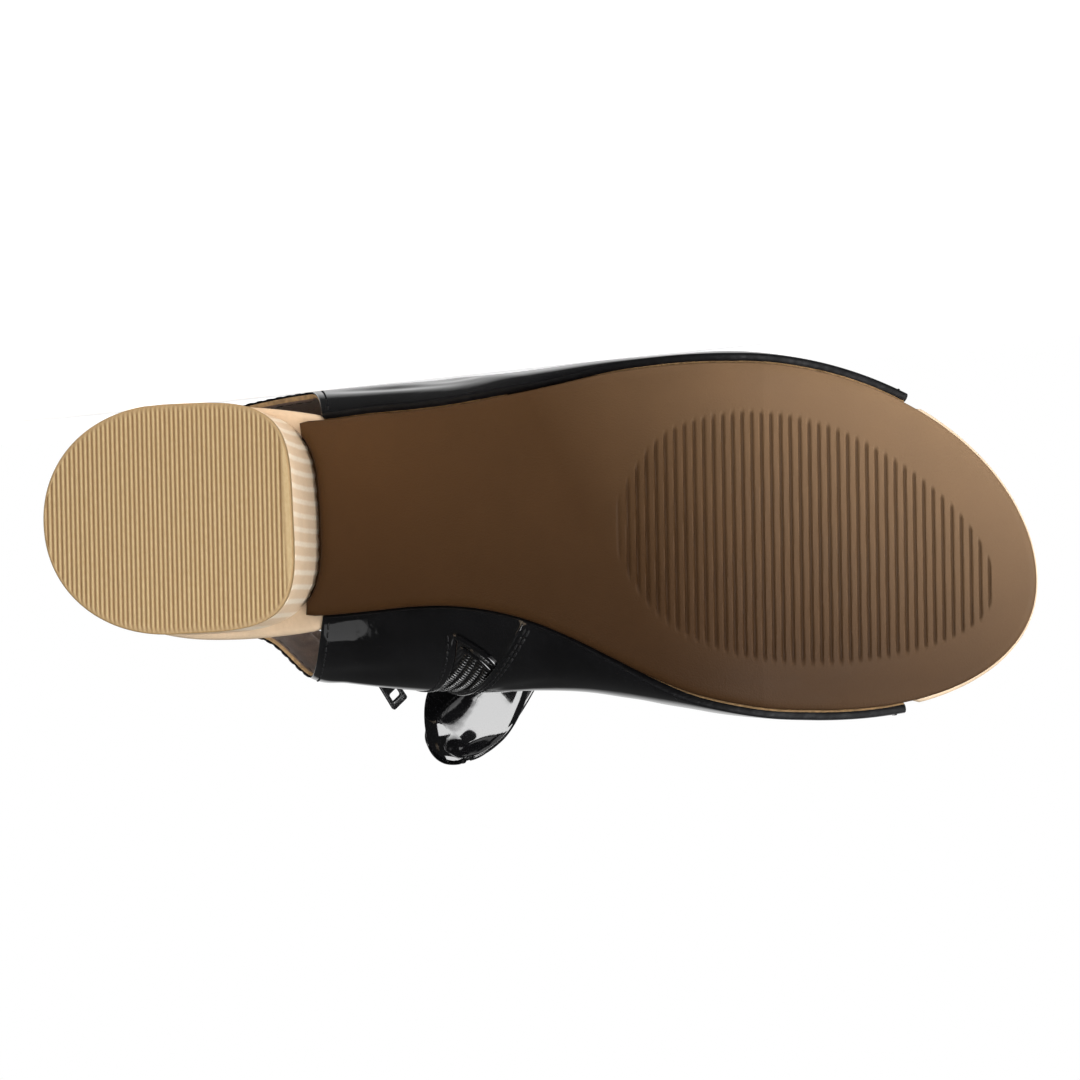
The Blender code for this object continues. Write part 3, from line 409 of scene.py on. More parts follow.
class SandalSizes(bpy.types.PropertyGroup):
    """Sizes of the details that the solids leave out"""

    tip_rib_pitch: length("Tip rib pitch", "Distance between the ribs of the heel tip", 1.08)
    tip_rib_depth: length("Tip rib depth", "Depth of the grooves of the heel tip", 0.3)
    sole_rib_pitch: length("Sole rib pitch", "Distance between the ribs under the ball of the foot", 2.25)
    sole_rib_depth: length("Sole rib depth", "Depth of the grooves under the ball of the foot", 0.6)
    wood_band_pitch: length("Wood band pitch", "Distance between the pale bands of the heel", 3.5)
    stitch_pitch: length("Stitch pitch", "Distance between stitches", 2.7)
    stitch_length: length("Stitch length", "Length of one stitch", 2.1)
    stitch_width: length("Stitch width", "Thickness of the thread", 0.64)
    tooth_pitch: length("Tooth pitch", "Distance between the teeth of the zip's coil", 1.4)
    hem_width: length("Hem width", "Width of the turned edge of the bow's ribbon", 1.5)
    loop_fold: length("Loop fold", "How far the bow's loops are folded along their length", 4.2)


class SandalColours(bpy.types.PropertyGroup):
    """Colours of the finishes, linear"""

    patent: colour("Patent", "Black patent leather", 0.004, 0.004, 0.0045)
    lining: colour("Lining", "Lining of quarters and strap", 0.17, 0.115, 0.088)
    cut_edge: colour("Cut edge", "Raw edge of the strap", 0.42, 0.26, 0.12)
    tip_ridge: colour("Tip ridge", "Ridges of the heel tip", 0.43, 0.31, 0.15)
    tip_groove: colour("Tip groove", "Grooves of the heel tip", 0.17, 0.08, 0.02)
    wood_pale: colour("Pale wood", "Pale bands of the heel", 0.86, 0.75, 0.60)
    wood_warm: colour("Warm wood", "Warm bands of the heel", 0.74, 0.56, 0.38)
    # Lighter than the waist colour by a painted sheen, which the sole finish blends in towards the toe
    sole_toe: colour("Sole at the toe", "Outsole under the toes", 0.24, 0.148, 0.08)
    sole_waist: colour("Sole at the waist", "Outsole under the arch", 0.078, 0.036, 0.0115)
    # Colour of the grooves, and also painted shade that the sole finish blends in towards the inner side
    sole_groove: colour("Sole groove", "Grooves of the outsole", 0.034, 0.0145, 0.0045)
    footbed: colour("Footbed", "Cream cover of the insole", 0.66, 0.50, 0.34)
    tape: colour("Zip tape", "Woven tape of the zip", 0.008, 0.008, 0.008)
    metal: colour("Metal", "Lacquered metal of slider and tab", 0.012, 0.012, 0.013)
    floor: colour("Floor", "Pale floor", 0.9, 0.9, 0.9)


class SandalStage(bpy.types.PropertyGroup):
    """Light around the sandal"""

    key_power: factor("Key", "Power of the large light in front, in watts", 14.5, 200.0)
    side_power: factor("Side", "Power of the light on the toe side, in watts", 11.0, 200.0)
    top_power: factor("Top", "Power of the light above the toe, in watts", 6.0, 200.0)
    patch_power: factor("Patch", "Power of the small light above the heel, in watts", 0.08, 200.0)
    backdrop: factor("Backdrop", "Brightness of the white behind the sandal", 1.0, 4.0)
    ambient: factor("Ambient", "Brightness of the light from all other sides", 0.04, 4.0)
    floor_glow: factor("Floor glow", "Evenness of the floor, as light of its own", 0.82, 4.0)


# Curves and places


def curve_at(xs, ys, x):
    """Smooth curve through (xs, ys) read at x: cubic pieces whose slopes come from the neighbouring rows."""
    xs, ys, x = np.array(xs, float), np.array(ys, float), np.asarray(x, float)
    slopes = np.gradient(ys, xs)
    i = np.clip(np.searchsorted(xs, x) - 1, 0, len(xs) - 2)
    step = xs[i + 1] - xs[i]
    f = (x - xs[i]) / step
    rise = ys[i] * (1 + 2 * f) * (1 - f) ** 2 + ys[i + 1] * f**2 * (3 - 2 * f)
    return rise + step * (slopes[i] * f * (1 - f) ** 2 - slopes[i + 1] * f**2 * (1 - f))


def rows_at(rows, number):
    """Catmull-Rom curve through a table's rows, read at fractional row numbers."""
    rows = np.array(rows, float)
    padded = np.vstack([2 * rows[0] - rows[1], rows, 2 * rows[-1] - rows[-2]])
    i = np.clip(np.floor(number).astype(int), 0, len(rows) - 2)
    f = (number - i)[:, None]
    a, b, c, d = (padded[i + k] for k in range(4))
    return 0.5 * (2 * b + (c - a) * f + (2 * a - 5 * b + 4 * c - d) * f**2 + (3 * b - a - 3 * c + d) * f**3)


def bezier(p0, p1, p2, p3, f):
    """Cubic Bezier curve read at f."""
    g = 1 - f
    return p0 * g**3 + 3 * p1 * g**2 * f + 3 * p2 * g * f**2 + p3 * f**3


def smooth_step(value):
    """0 below 0, 1 above 1, and an even S between them."""
    f = np.clip(value, 0, 1)
    return f * f * (3 - 2 * f)


def signed_power(values, power):
    """Values raised to a power, with their signs kept."""
    return np.sign(values) * np.abs(values) ** power


def unit(vectors):
    """Vectors brought to length 1."""
    return vectors / np.linalg.norm(vectors, axis=-1, keepdims=True)


def even_steps(stops, counts):
    """Numbers that run from stop to stop in the given counts of even steps."""
    runs = [np.linspace(a, b, n, endpoint=False) for a, b, n in zip(stops, stops[1:], counts)]
    return np.concatenate(runs + [[stops[-1]]])


def shoe_axes():
    """Turn and origin from shoe to frame: the ground's normal and the line between the two tread mounts."""
    mounts = {mount["name"]: mount for mount in frame["record"]["mounts"]}
    heel = np.array(mounts["heel_tread"]["pos_m"])
    up = unit(-np.array(mounts["heel_tread"]["axis"]))
    run = np.array(mounts["forefoot_tread"]["pos_m"]) - heel
    ahead = unit(run - up * (run @ up))
    aside = np.cross(up, ahead)
    shoe_run = BALL_TREAD_POINT - HEEL_TREAD_POINT
    angle = math.atan2(shoe_run[1], shoe_run[0])
    x_axis = ahead * math.cos(angle) - aside * math.sin(angle)
    turn = np.stack([x_axis, np.cross(up, x_axis), up], axis=-1)
    return turn, heel - turn @ HEEL_TREAD_POINT * MM


SHOE_TURN, SHOE_ORIGIN = shoe_axes()


def to_frame(points):
    """Shoe millimetres to metres in the frame."""
    return np.asarray(points, float) * MM @ SHOE_TURN.T + SHOE_ORIGIN


# Sole lines


def sole_height(x):
    """Height of the outsole's upper face, level under the ball of the foot."""
    height = curve_at([row.x for row in SOLE_PROFILE], [row.height for row in SOLE_PROFILE], x)
    return np.maximum(height, OUTSOLE_THICK)


def tread_height(x):
    """Height of the outsole's lower face."""
    return sole_height(x) - OUTSOLE_THICK


def footbed_low(x):
    """Height of the insole's lower face."""
    return sole_height(x) + GAP


def footbed_high(x):
    """Height of the insole's upper face."""
    return sole_height(x) + GAP + INSOLE_THICK


def outsole_edge(x, side, grow=0.0):
    """y of the outsole's edge on one side, moved out by grow: the table's curve, then the toe arc."""
    arc = TOE_ARCS[side]
    rows = [row.outer if side == OUTER else row.inner for row in OUTSOLE_EDGE]
    waist = curve_at([row.x for row in OUTSOLE_EDGE], rows, x) + side * grow
    reach = np.clip((x - arc.x) / (TOE_TIP[0] + grow - arc.x), 0, 1)
    toe = TOE_TIP[1] + (arc.y + side * grow - TOE_TIP[1]) * (1 - reach**arc.power) ** (1 / arc.power)
    return np.where(x < arc.x, waist, toe)


def insole_edge(x, side, grow=0.0):
    """y of the insole's edge: oval at the bare heel, just inside the upper, and a rim under the toes."""
    back = np.clip((INSOLE_HEEL_MIDDLE - x) / (INSOLE_HEEL_MIDDLE - INSOLE_BACK + grow), 0, 1)
    ahead = np.clip((x - INSOLE_HEEL_MIDDLE) / (INSOLE_BARE_HEEL_END - INSOLE_HEEL_MIDDLE), 0, 1)
    oval = (1 - back**INSOLE_HEEL_POWER) ** (1 / INSOLE_HEEL_POWER)
    half = (INSOLE_HEEL_HALF + grow) * oval - INSOLE_HEEL_TAPER * ahead**2
    bare_heel = HEEL_LINE_Y + side * half
    covered = outsole_edge(x, side, grow - INSOLE_INSET)
    bare_toe = outsole_edge(x, side, grow + INSOLE_TOE_RIM)
    to_covered = np.clip(x - INSOLE_BARE_HEEL_END, 0, 1)
    to_bare = np.clip((x - INSOLE_BARE_TOE_START) / 2, 0, 1)
    edge = bare_heel + (covered - bare_heel) * to_covered
    return edge + (bare_toe - covered) * to_bare


def heel_row(share):
    """Heel outline's sizes at a share of its height."""
    return HeelRow(*(np.array(HEEL_TREAD) + (np.array(HEEL_SEAT) - np.array(HEEL_TREAD)) * share))


def heel_place(row, along, aside):
    """Heel's own plan, along and aside from its middle, turned and moved into the shoe's plan."""
    turn = math.radians(HEEL_TURN)
    x = row.middle + along * math.cos(turn) - aside * math.sin(turn)
    y = HEEL_LINE_Y + along * math.sin(turn) + aside * math.cos(turn)
    return np.stack([x, y], axis=-1)


def heel_outline(share, count):
    """Heel's plan at a share of its height: an oval half behind, a squarer half in front."""
    row = heel_row(share)
    angle = np.linspace(0, 2 * math.pi, count, endpoint=False)
    c, s = np.cos(angle), np.sin(angle)
    power = np.where(c > 0, row.front_power, HEEL_BACK_POWER)
    pinch = HEEL_PINCH * 4 * share * (1 - share)
    along = (np.where(c > 0, row.front, row.back) - pinch) * signed_power(c, 2 / power)
    aside = (row.half_width - pinch) * signed_power(s, 2 / power)
    return heel_place(row, along, aside)


def breast_x(y):
    """x of the heel's front edge at its seat, carried straight on beyond its flatter middle."""
    ring = heel_outline(1.0, 400)
    front = ring[ring[:, 0] > HEEL_SEAT.middle]
    front = front[np.argsort(front[:, 1])]
    middle_y = np.clip(y, HEEL_LINE_Y - BREAST_HALF, HEEL_LINE_Y + BREAST_HALF)
    return np.interp(middle_y, front[:, 1], front[:, 0])


def across(outer, inner, shares):
    """Grid of y between two edges."""
    return outer[:, None] + (inner - outer)[:, None] * shares[None, :]


def crowded(start, end, count):
    """Numbers from start to end that crowd together towards the end, as points on a quarter circle do."""
    return start + (end - start) * np.sin(np.linspace(0, math.radians(88.5), count))


# Meshes


def grid_quads(rows, columns, offset=0):
    """Quads of a grid of rows x columns points, numbered row by row."""
    i, j = np.meshgrid(np.arange(rows - 1), np.arange(columns - 1), indexing="ij")
    corner = (offset + i * columns + j).ravel()
    return np.stack([corner, corner + columns, corner + columns + 1, corner + 1], axis=-1)


def ring_quads(first, second):
    """Quads between two closed rings of point numbers."""
    return np.stack([first, np.roll(first, -1), np.roll(second, -1), second], axis=-1)


def rim_numbers(rows, columns):
    """Numbers of a grid's border points, in order round it."""
    number = np.arange(rows * columns).reshape(rows, columns)
    return np.concatenate([number[0, :], number[1:, -1], number[-1, -2::-1], number[-2:0:-1, 0]])


def slab(plan, relief, low, high, rim_rows):
    """Closed layer over a plan grid: the lower face carries the relief, the rim rows stand out from its
    border, and strips from side to side close the upper face, whose height depends on x alone.
    """
    rows, columns = plan.shape[:2]
    flat = plan.reshape(-1, 2)
    rim = rim_numbers(rows, columns)
    loop = flat[rim]
    ahead = unit(np.roll(loop, -1, axis=0) - np.roll(loop, 1, axis=0))
    outward = np.stack([-ahead[:, 1], ahead[:, 0]], axis=-1)
    points = [np.column_stack([flat, low(flat[:, 0]) + relief.ravel()])]
    faces = [grid_quads(rows, columns)]
    last = rim
    for k, row in enumerate(rim_rows[1:]):
        ring = loop + outward * row.out
        bottom, top = low(ring[:, 0]), high(ring[:, 0])
        points.append(np.column_stack([ring, bottom + (top - bottom) * row.share]))
        numbers = len(flat) + k * len(rim) + np.arange(len(rim))
        faces.append(ring_quads(last, numbers))
        last = numbers
    right = last[columns - 1 : columns + rows - 1]
    left = np.concatenate([last[:1], last[2 * columns + rows - 3 :][::-1]])
    strips = np.stack([left, right], axis=-1)
    faces.append(np.column_stack([strips[1:-2], strips[2:-1, ::-1]]))
    faces.append(np.concatenate([last[:columns], [right[1], left[1]]])[None, :])
    end = last[columns + rows - 2 : columns + rows + columns - 2]
    faces.append(np.concatenate([end, [left[-2], right[-2]]])[None, :])
    return np.vstack(points), faces


def stacked_rings(rings):
    """Closed solid through rings of points, with a flat face over the first and the last."""
    count = len(rings[0])
    faces = [np.arange(count)[None, :], (len(rings) - 1) * count + np.arange(count)[None, :]]
    for k in range(len(rings) - 1):
        first = k * count + np.arange(count)
        faces.append(ring_quads(first, first + count))
    return np.vstack(rings), faces


def welded(points, quads, within=0.002):
    """Points in use that lie closer than a small distance made one. Gives points, quads and their origins."""
    used = np.unique(quads)
    keys = np.round(points[used] / within)
    _, first, index = np.unique(keys, axis=0, return_index=True, return_inverse=True)
    place = np.zeros(len(points), int)
    place[used] = index.reshape(-1)
    return points[used[first]], place[quads], used[first]


def point_normals(points, quads):
    """Unit normals at the points: the sum of the crossed diagonals of the quads round each."""
    corners = points[quads]
    face = np.cross(corners[:, 2] - corners[:, 0], corners[:, 3] - corners[:, 1])
    normals = np.zeros_like(points)
    for k in range(4):
        np.add.at(normals, quads[:, k], face)
    return unit(normals + 1e-12)


def shell(points, quads, wall, bulge, rows=RIM_ROWS):
    """Closed wall over an open surface: the surface moved out by the wall, the surface itself as the inside,
    and a rim between them that runs round a half circle, standing out from the border by the bulge.

    Gives points, quads, the row of each quad (0 outside, 1 to rows round the rim, rows + 1 inside), the open
    surface's point behind each point, and the surface's border points behind each rim quad.
    """
    normals = point_normals(points, quads)
    outer = points + normals * np.broadcast_to(wall, len(points))[:, None]
    ends = np.stack([quads, np.roll(quads, -1, axis=1)], axis=-1).reshape(-1, 2)
    centres = np.repeat(points[quads].mean(axis=1), 4, axis=0)
    _, index, count = np.unique(np.sort(ends, axis=1), axis=0, return_inverse=True, return_counts=True)
    free = count[index.reshape(-1)] == 1
    ends, centres = ends[free], centres[free]
    away = np.zeros_like(points)
    out = points[ends].mean(axis=1) - centres
    along = unit(points[ends[:, 1]] - points[ends[:, 0]])
    out = unit(out - along * (out * along).sum(axis=1, keepdims=True))
    np.add.at(away, ends[:, 0], out)
    np.add.at(away, ends[:, 1], out)
    border = np.unique(ends)
    away = unit(away[border] - normals[border] * (away[border] * normals[border]).sum(axis=1, keepdims=True))
    place = np.zeros(len(points), int)
    place[border] = np.arange(len(border))
    middle, half = (outer[border] + points[border]) / 2, (outer[border] - points[border]) / 2
    count = len(points)
    all_points, sources = [outer, points], [np.arange(count), np.arange(count)]
    numbers = [ends]
    for k in range(1, rows):
        angle = math.pi * k / rows
        all_points.append(middle + half * math.cos(angle) + away * bulge * math.sin(angle))
        sources.append(border)
        numbers.append(2 * count + (k - 1) * len(border) + place[ends])
    numbers.append(ends + count)
    all_quads = [quads]
    labels = [np.zeros(len(quads), int)]
    for k, (first, second) in enumerate(zip(numbers, numbers[1:])):
        all_quads.append(np.column_stack([first[:, ::-1], second]))
        labels.append(np.full(len(ends), k + 1))
    all_quads.append(quads[:, ::-1] + count)
    labels.append(np.full(len(quads), rows + 1))
    return np.vstack(all_points), np.vstack(all_quads), np.concatenate(labels), np.concatenate(sources), ends


def capsules(middles, ahead, normals, long, wide, high):
    """Many small rounded bars as one mesh: rings of six points along each bar, drawn in at both ends."""
    along = np.array([-1.0, -0.82, -0.45, 0.45, 0.82, 1.0])
    full = np.array([0.3, 0.75, 1.0, 1.0, 0.75, 0.3])
    turn = np.linspace(0, 2 * math.pi, 6, endpoint=False)
    aside = np.cross(normals, ahead)
    reach = along[:, None] * np.ones(6)[None, :] * long / 2
    sideways = full[:, None] * np.cos(turn)[None, :] * wide / 2
    upward = full[:, None] * np.sin(turn)[None, :] * high / 2
    parts = [(reach, ahead), (sideways, aside), (upward, normals)]
    points = middles[:, None, None, :] + sum(a[None, :, :, None] * way[:, None, None, :] for a, way in parts)
    size = len(along) * 6
    start = np.arange(len(middles)) * size
    quads = [ring_quads(np.arange(6) + 6 * k, np.arange(6) + 6 * (k + 1)) for k in range(len(along) - 1)]
    quads = (np.vstack(quads)[None] + start[:, None, None]).reshape(-1, 4)
    caps = np.stack([np.arange(6), np.arange(6) + size - 6])
    caps = (caps[None] + start[:, None, None]).reshape(-1, 6)
    return points.reshape(-1, 3), [quads, caps]


def joined(parts):
    """Several (points, faces) as one."""
    points, faces, count = [], [], 0
    for part_points, part_faces in parts:
        points.append(part_points)
        faces += [array + count for array in part_faces]
        count += len(part_points)
    return np.vstack(points), faces


def store(mesh, name, values):
    """Values on a mesh's points as an attribute: numbers, or vectors of three."""
    values = np.asarray(values, np.float32)
    kind, field = ("FLOAT", "value") if values.ndim == 1 else ("FLOAT_VECTOR", "vector")
    mesh.attributes.new(name, kind, "POINT").data.foreach_set(field, values.ravel())


def face_outwards(mesh):
    """Turn the faces of closed meshes outwards."""
    work = bmesh.new()
    work.from_mesh(mesh)
    bmesh.ops.recalc_face_normals(work, faces=work.faces)
    work.to_mesh(mesh)
    work.free()


def add_piece(name, points, faces, finishes, slot, body="shoe", nodes=(), face_slots=None, **values):
    """Piece from shoe points: mesh in the frame, finishes, body and the solids that it stands for."""
    mesh = bpy.data.meshes.new(name)
    mesh.from_pydata(to_frame(points).tolist(), [], [face for array in faces for face in array.tolist()])
    for finish in finishes:
        mesh.materials.append(finish)
    if face_slots is not None:
        mesh.polygons.foreach_set("material_index", np.asarray(face_slots, np.int32))
    face_outwards(mesh)
    store(mesh, "shoe_mm", points)
    for key, value in values.items():
        store(mesh, key, value)
    mesh.shade_smooth()
    mesh.set_sharp_from_angle(angle=math.radians(55))
    piece = bpy.data.objects.new(name, mesh)
    bpy.context.scene.collection.objects.link(piece)
    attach(piece, body)
    if nodes:
        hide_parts(*nodes)


# Shader nodes


def node(tree, kind, inputs=(), **settings):
    """Node with its settings, whose inputs are linked or set."""
    made = tree.nodes.new("ShaderNode" + kind)
    for key, value in settings.items():
        setattr(made, key, value)
    for key, value in dict(inputs).items():
        if isinstance(value, bpy.types.NodeSocket):
            tree.links.new(value, made.inputs[key])
        else:
            made.inputs[key].default_value = value
    return made


def sums(tree, operation, first, second=0.0, third=0.0):
    """Output of a Math node."""
    return node(tree, "Math", {0: first, 1: second, 2: third}, operation=operation).outputs[0]


def mixed(tree, share, first, second):
    """Colour between two colours."""
    mix = node(tree, "Mix", {0: share, 6: first, 7: second}, data_type="RGBA")
    return mix.outputs[2]


def ramp(tree, value, low, high, to_low=0.0, to_high=1.0):
    """Value mapped from one span to another, held at both ends."""
    spans = {"Value": value, "From Min": low, "From Max": high, "To Min": to_low, "To Max": to_high}
    return node(tree, "MapRange", spans).outputs[0]


def between(tree, value, low, high):
    """Value from 0 to 1 mapped to the span between two numbers."""
    return ramp(tree, value, 0.0, 1.0, low, high)


def attribute(tree, name):
    """Outputs of an attribute that the mesh holds."""
    return node(tree, "Attribute", (), attribute_name=name).outputs


def separate(tree, vector):
    """The three parts of a vector."""
    return node(tree, "SeparateXYZ", {0: vector}).outputs


def opaque(rgb):
    """Colour with full alpha."""
    return (*rgb, 1.0)


def shade(rgb, amount):
    """Colour made lighter or darker."""
    return tuple(min(1.0, channel * amount) for channel in rgb)


def new_group(name, inputs, outputs):
    """Empty shader group with named sockets. Gives the tree, what goes into it and what it puts out."""
    tree = bpy.data.node_groups.new(name, "ShaderNodeTree")
    for socket, kind in inputs.items():
        tree.interface.new_socket(socket, in_out="INPUT", socket_type="NodeSocket" + kind)
    for socket, kind in outputs.items():
        tree.interface.new_socket(socket, in_out="OUTPUT", socket_type="NodeSocket" + kind)
    return tree, tree.nodes.new("NodeGroupInput").outputs, tree.nodes.new("NodeGroupOutput").inputs


def mottle_group():
    """Colour that wanders between two tones with a noise, and the noise's value."""
    sockets = {"Vector": "Vector", "Scale": "Float", "Tone A": "Color", "Tone B": "Color"}
    tree, given, out = new_group("Mottle", sockets, {"Colour": "Color", "Value": "Float"})
    noise = node(tree, "TexNoise", {"Vector": given["Vector"], "Scale": given["Scale"], "Detail": 4.0})
    value = ramp(tree, noise.outputs[0], 0.3, 0.7)
    tree.links.new(mixed(tree, value, given["Tone A"], given["Tone B"]), out["Colour"])
    tree.links.new(value, out["Value"])
    return tree


def grain_group():
    """Fine streaks: a noise of the position, stretched by a factor each way."""
    tree, given, out = new_group("Grain", {"Vector": "Vector", "Stretch": "Vector"}, {"Value": "Float"})
    spot = node(tree, "VectorMath", {0: given["Vector"], 1: given["Stretch"]}, operation="MULTIPLY")
    noise = node(tree, "TexNoise", {"Vector": spot.outputs[0], "Scale": 1.0, "Detail": 3.0})
    tree.links.new(ramp(tree, noise.outputs[0], 0.32, 0.68), out["Value"])
    return tree


def bands_group():
    """Soft stripes: a sine of the position over the pitch, moved by the wander."""
    sockets = {"Position": "Float", "Pitch": "Float", "Wander": "Float"}
    tree, given, out = new_group("Bands", sockets, {"Value": "Float"})
    turns = sums(tree, "ADD", sums(tree, "DIVIDE", given["Position"], given["Pitch"]), given["Wander"])
    wave = sums(tree, "SINE", sums(tree, "MULTIPLY", turns, 2 * math.pi))
    tree.links.new(sums(tree, "MULTIPLY_ADD", wave, 0.5, 0.5), out["Value"])
    return tree


def relief_group():
    """Colour by relief: groove at 0, face at a half and ridge at 1."""
    sockets = {"Relief": "Float", "Groove": "Color", "Face": "Color", "Ridge": "Color"}
    tree, given, out = new_group("Relief colours", sockets, {"Colour": "Color"})
    lower = mixed(tree, ramp(tree, given["Relief"], 0.0, RELIEF_FACE), given["Groove"], given["Face"])
    upper = mixed(tree, ramp(tree, given["Relief"], RELIEF_FACE, 1.0), lower, given["Ridge"])
    tree.links.new(upper, out["Colour"])
    return tree


GROUP_MAKERS = {
    "Mottle": mottle_group,
    "Grain": grain_group,
    "Bands": bands_group,
    "Relief colours": relief_group,
}


def use(tree, name, inputs):
    """Outputs of a shared group, made when it is first needed."""
    group = bpy.data.node_groups.get(name) or GROUP_MAKERS[name]()
    return node(tree, "Group", inputs, node_tree=group).outputs


# Finishes


def new_finish(name):
    """Fresh material: the material, its nodes, its shader and the shoe position on its surface."""
    finish = bpy.data.materials.new(name)
    finish.use_nodes = True
    tree = finish.node_tree
    place = attribute(tree, "shoe_mm")["Vector"]
    return finish, tree, tree.nodes["Principled BSDF"], place


def dress(tree, shader, tone, roughness, height, depth):
    """Link a finish's colour, roughness and bump, whose depth is in millimetres."""
    bump = node(tree, "Bump", {"Strength": 1.0, "Distance": depth * MM, "Height": height})
    tree.links.new(tone, shader.inputs["Base Color"])
    tree.links.new(roughness, shader.inputs["Roughness"])
    tree.links.new(bump.outputs[0], shader.inputs["Normal"])


def mottled(tree, place, rgb, scale, spread):
    """Colour and value of a mottle that runs a spread to both sides of a colour."""
    tones = {"Tone A": opaque(shade(rgb, 1 - spread)), "Tone B": opaque(shade(rgb, 1 + spread))}
    return use(tree, "Mottle", {"Vector": place, "Scale": scale, **tones})


def grain(tree, place, stretch):
    """Value of fine streaks."""
    return use(tree, "Grain", {"Vector": place, "Stretch": stretch})["Value"]


def set_sockets(shader, sockets):
    """Set constants on the shader's own sockets."""
    for key, value in dict(sockets).items():
        shader.inputs[key].default_value = value


def grained_finish(name, rgb, scale, spread, stretch, rough, depth, sockets=()):
    """Finish with a mottled colour, and a fine grain that gives its roughness and its bump."""
    finish, tree, shader, place = new_finish(name)
    tone = mottled(tree, place, rgb, scale, spread)["Colour"]
    streaks = grain(tree, place, stretch)
    dress(tree, shader, tone, between(tree, streaks, *rough), streaks, depth)
    set_sockets(shader, sockets)
    return finish


def patent_finish(colours):
    """Black patent: a clear coat over black with a faint ripple and fine peel."""
    finish, tree, shader, place = new_finish("patent")
    tone = mottled(tree, place, colours.patent, scale=0.06, spread=0.5)
    ripple = grain(tree, place, (0.09, 0.09, 0.09))
    peel = grain(tree, place, (1.1, 1.1, 1.1))
    height = sums(tree, "MULTIPLY_ADD", peel, 0.03, ripple)
    dress(tree, shader, tone["Colour"], between(tree, tone["Value"], 0.04, 0.1), height, depth=0.06)
    set_sockets(shader, {"Coat Weight": 1.0, "Coat Roughness": 0.02})
    return finish


def lining_finish(colours):
    """Taupe lining leather with a fine nap."""
    return grained_finish(
        "lining", colours.lining, scale=0.35, spread=0.25, stretch=(2.6, 2.6, 2.6), rough=(0.7, 0.95),
        depth=0.12, sockets={"Sheen Weight": 0.25},
    )


def cut_edge_finish(colours):
    """Raw leather edge with fibres along it."""
    return grained_finish(
        "cut_edge", colours.cut_edge, scale=0.8, spread=0.3, stretch=(0.8, 0.8, 4.0), rough=(0.6, 0.85),
        depth=0.1,
    )


def edge_paint_finish(colours):
    """Black edge paint, satin, with fine ridges."""
    tone = shade(colours.patent, 1.5)
    return grained_finish(
        "edge_paint", tone, scale=0.5, spread=0.3, stretch=(0.6, 0.6, 3.0), rough=(0.4, 0.6),
        depth=0.05, sockets={"Specular IOR Level": 0.2},
    )


def thread_finish(name, rgb):
    """Twisted thread with fine strands."""
    return grained_finish(
        name, rgb, scale=0.5, spread=0.3, stretch=(3.5, 3.5, 3.5), rough=(0.35, 0.6), depth=0.08
    )


def tip_finish(colours):
    """Tan rubber: pale ridges, darker grooves, fine specks."""
    finish, tree, shader, place = new_finish("tip_rubber")
    relief = attribute(tree, "relief")["Fac"]
    specks = grain(tree, place, (1.4, 0.7, 1.4))
    face = mixed(tree, 0.55, opaque(colours.tip_groove), opaque(colours.tip_ridge))
    tones = {"Groove": opaque(colours.tip_groove), "Face": face, "Ridge": opaque(colours.tip_ridge)}
    tone = use(tree, "Relief colours", {"Relief": relief, **tones})["Colour"]
    tone = mixed(tree, sums(tree, "MULTIPLY", specks, 0.12), tone, opaque(colours.tip_groove))
    dress(tree, shader, tone, between(tree, specks, 0.5, 0.72), specks, depth=0.05)
    return finish


def wood_finish(colours, sizes):
    """Pale wood: soft bands up the heel, hair-fine grain across them and a slow mottle."""
    finish, tree, shader, place = new_finish("wood")
    aside = separate(tree, place)["Y"]
    drift = node(tree, "TexNoise", {"Vector": place, "Scale": 0.03, "Detail": 2.0}).outputs[0]
    sway = sums(tree, "MULTIPLY", drift, 0.25)
    pitch = sizes.wood_band_pitch / MM
    bands = use(tree, "Bands", {"Position": aside, "Pitch": pitch, "Wander": sway})["Value"]
    hairs = grain(tree, place, (1.3, 1.5, 1.3))
    pores = grain(tree, place, (0.5, 0.7, 7.0))
    warm = mottled(tree, place, colours.wood_warm, scale=0.05, spread=0.07)["Colour"]
    pale = mottled(tree, place, colours.wood_pale, scale=0.05, spread=0.05)["Colour"]
    tone = mixed(tree, ramp(tree, bands, 0.55, 0.9), warm, pale)
    hair_tone = opaque(shade(colours.wood_warm, 0.84))
    streak = mixed(tree, sums(tree, "MULTIPLY", hairs, 0.4), tone, hair_tone)
    height = sums(tree, "MULTIPLY_ADD", pores, 0.4, hairs)
    dress(tree, shader, streak, between(tree, pores, 0.42, 0.6), height, depth=0.05)
    return finish


def sole_finish(colours):
    """Brown moulded rubber: lighter to the toe as a painted sheen, darker to the inner side as painted shade,
    darker in the grooves, fine specks.
    """
    finish, tree, shader, place = new_finish("moulded_rubber")
    relief = attribute(tree, "relief")["Fac"]
    parts = separate(tree, place)
    towards_toe = sums(tree, "MULTIPLY_ADD", parts["Y"], -0.5, parts["X"])
    # Painted sheen: the colour grows lighter towards the toe
    toe_sheen = ramp(tree, towards_toe, 130.0, 236.0)
    tone = mixed(tree, toe_sheen, opaque(colours.sole_waist), opaque(colours.sole_toe))
    # Painted shade: the colour darkens towards the inner side
    inner_shade = ramp(tree, parts["Y"], -32.0, 36.0, 0.05, 0.8)
    tone = mixed(tree, inner_shade, tone, opaque(colours.sole_groove))
    blotch = mottled(tree, place, (0.95, 0.95, 0.95), scale=0.07, spread=0.04)
    blend = {0: 1.0, 6: tone, 7: blotch["Colour"]}
    tone = node(tree, "Mix", blend, data_type="RGBA", blend_type="MULTIPLY").outputs[2]
    groove = mixed(tree, 0.5, tone, opaque(colours.sole_groove))
    tones = {"Groove": groove, "Face": tone, "Ridge": tone}
    tone = use(tree, "Relief colours", {"Relief": relief, **tones})["Colour"]
    specks = grain(tree, place, (2.2, 2.2, 2.2))
    dress(tree, shader, tone, between(tree, blotch["Value"], 0.5, 0.62), specks, depth=0.035)
    set_sockets(shader, {"Specular IOR Level": 0.15})
    return finish


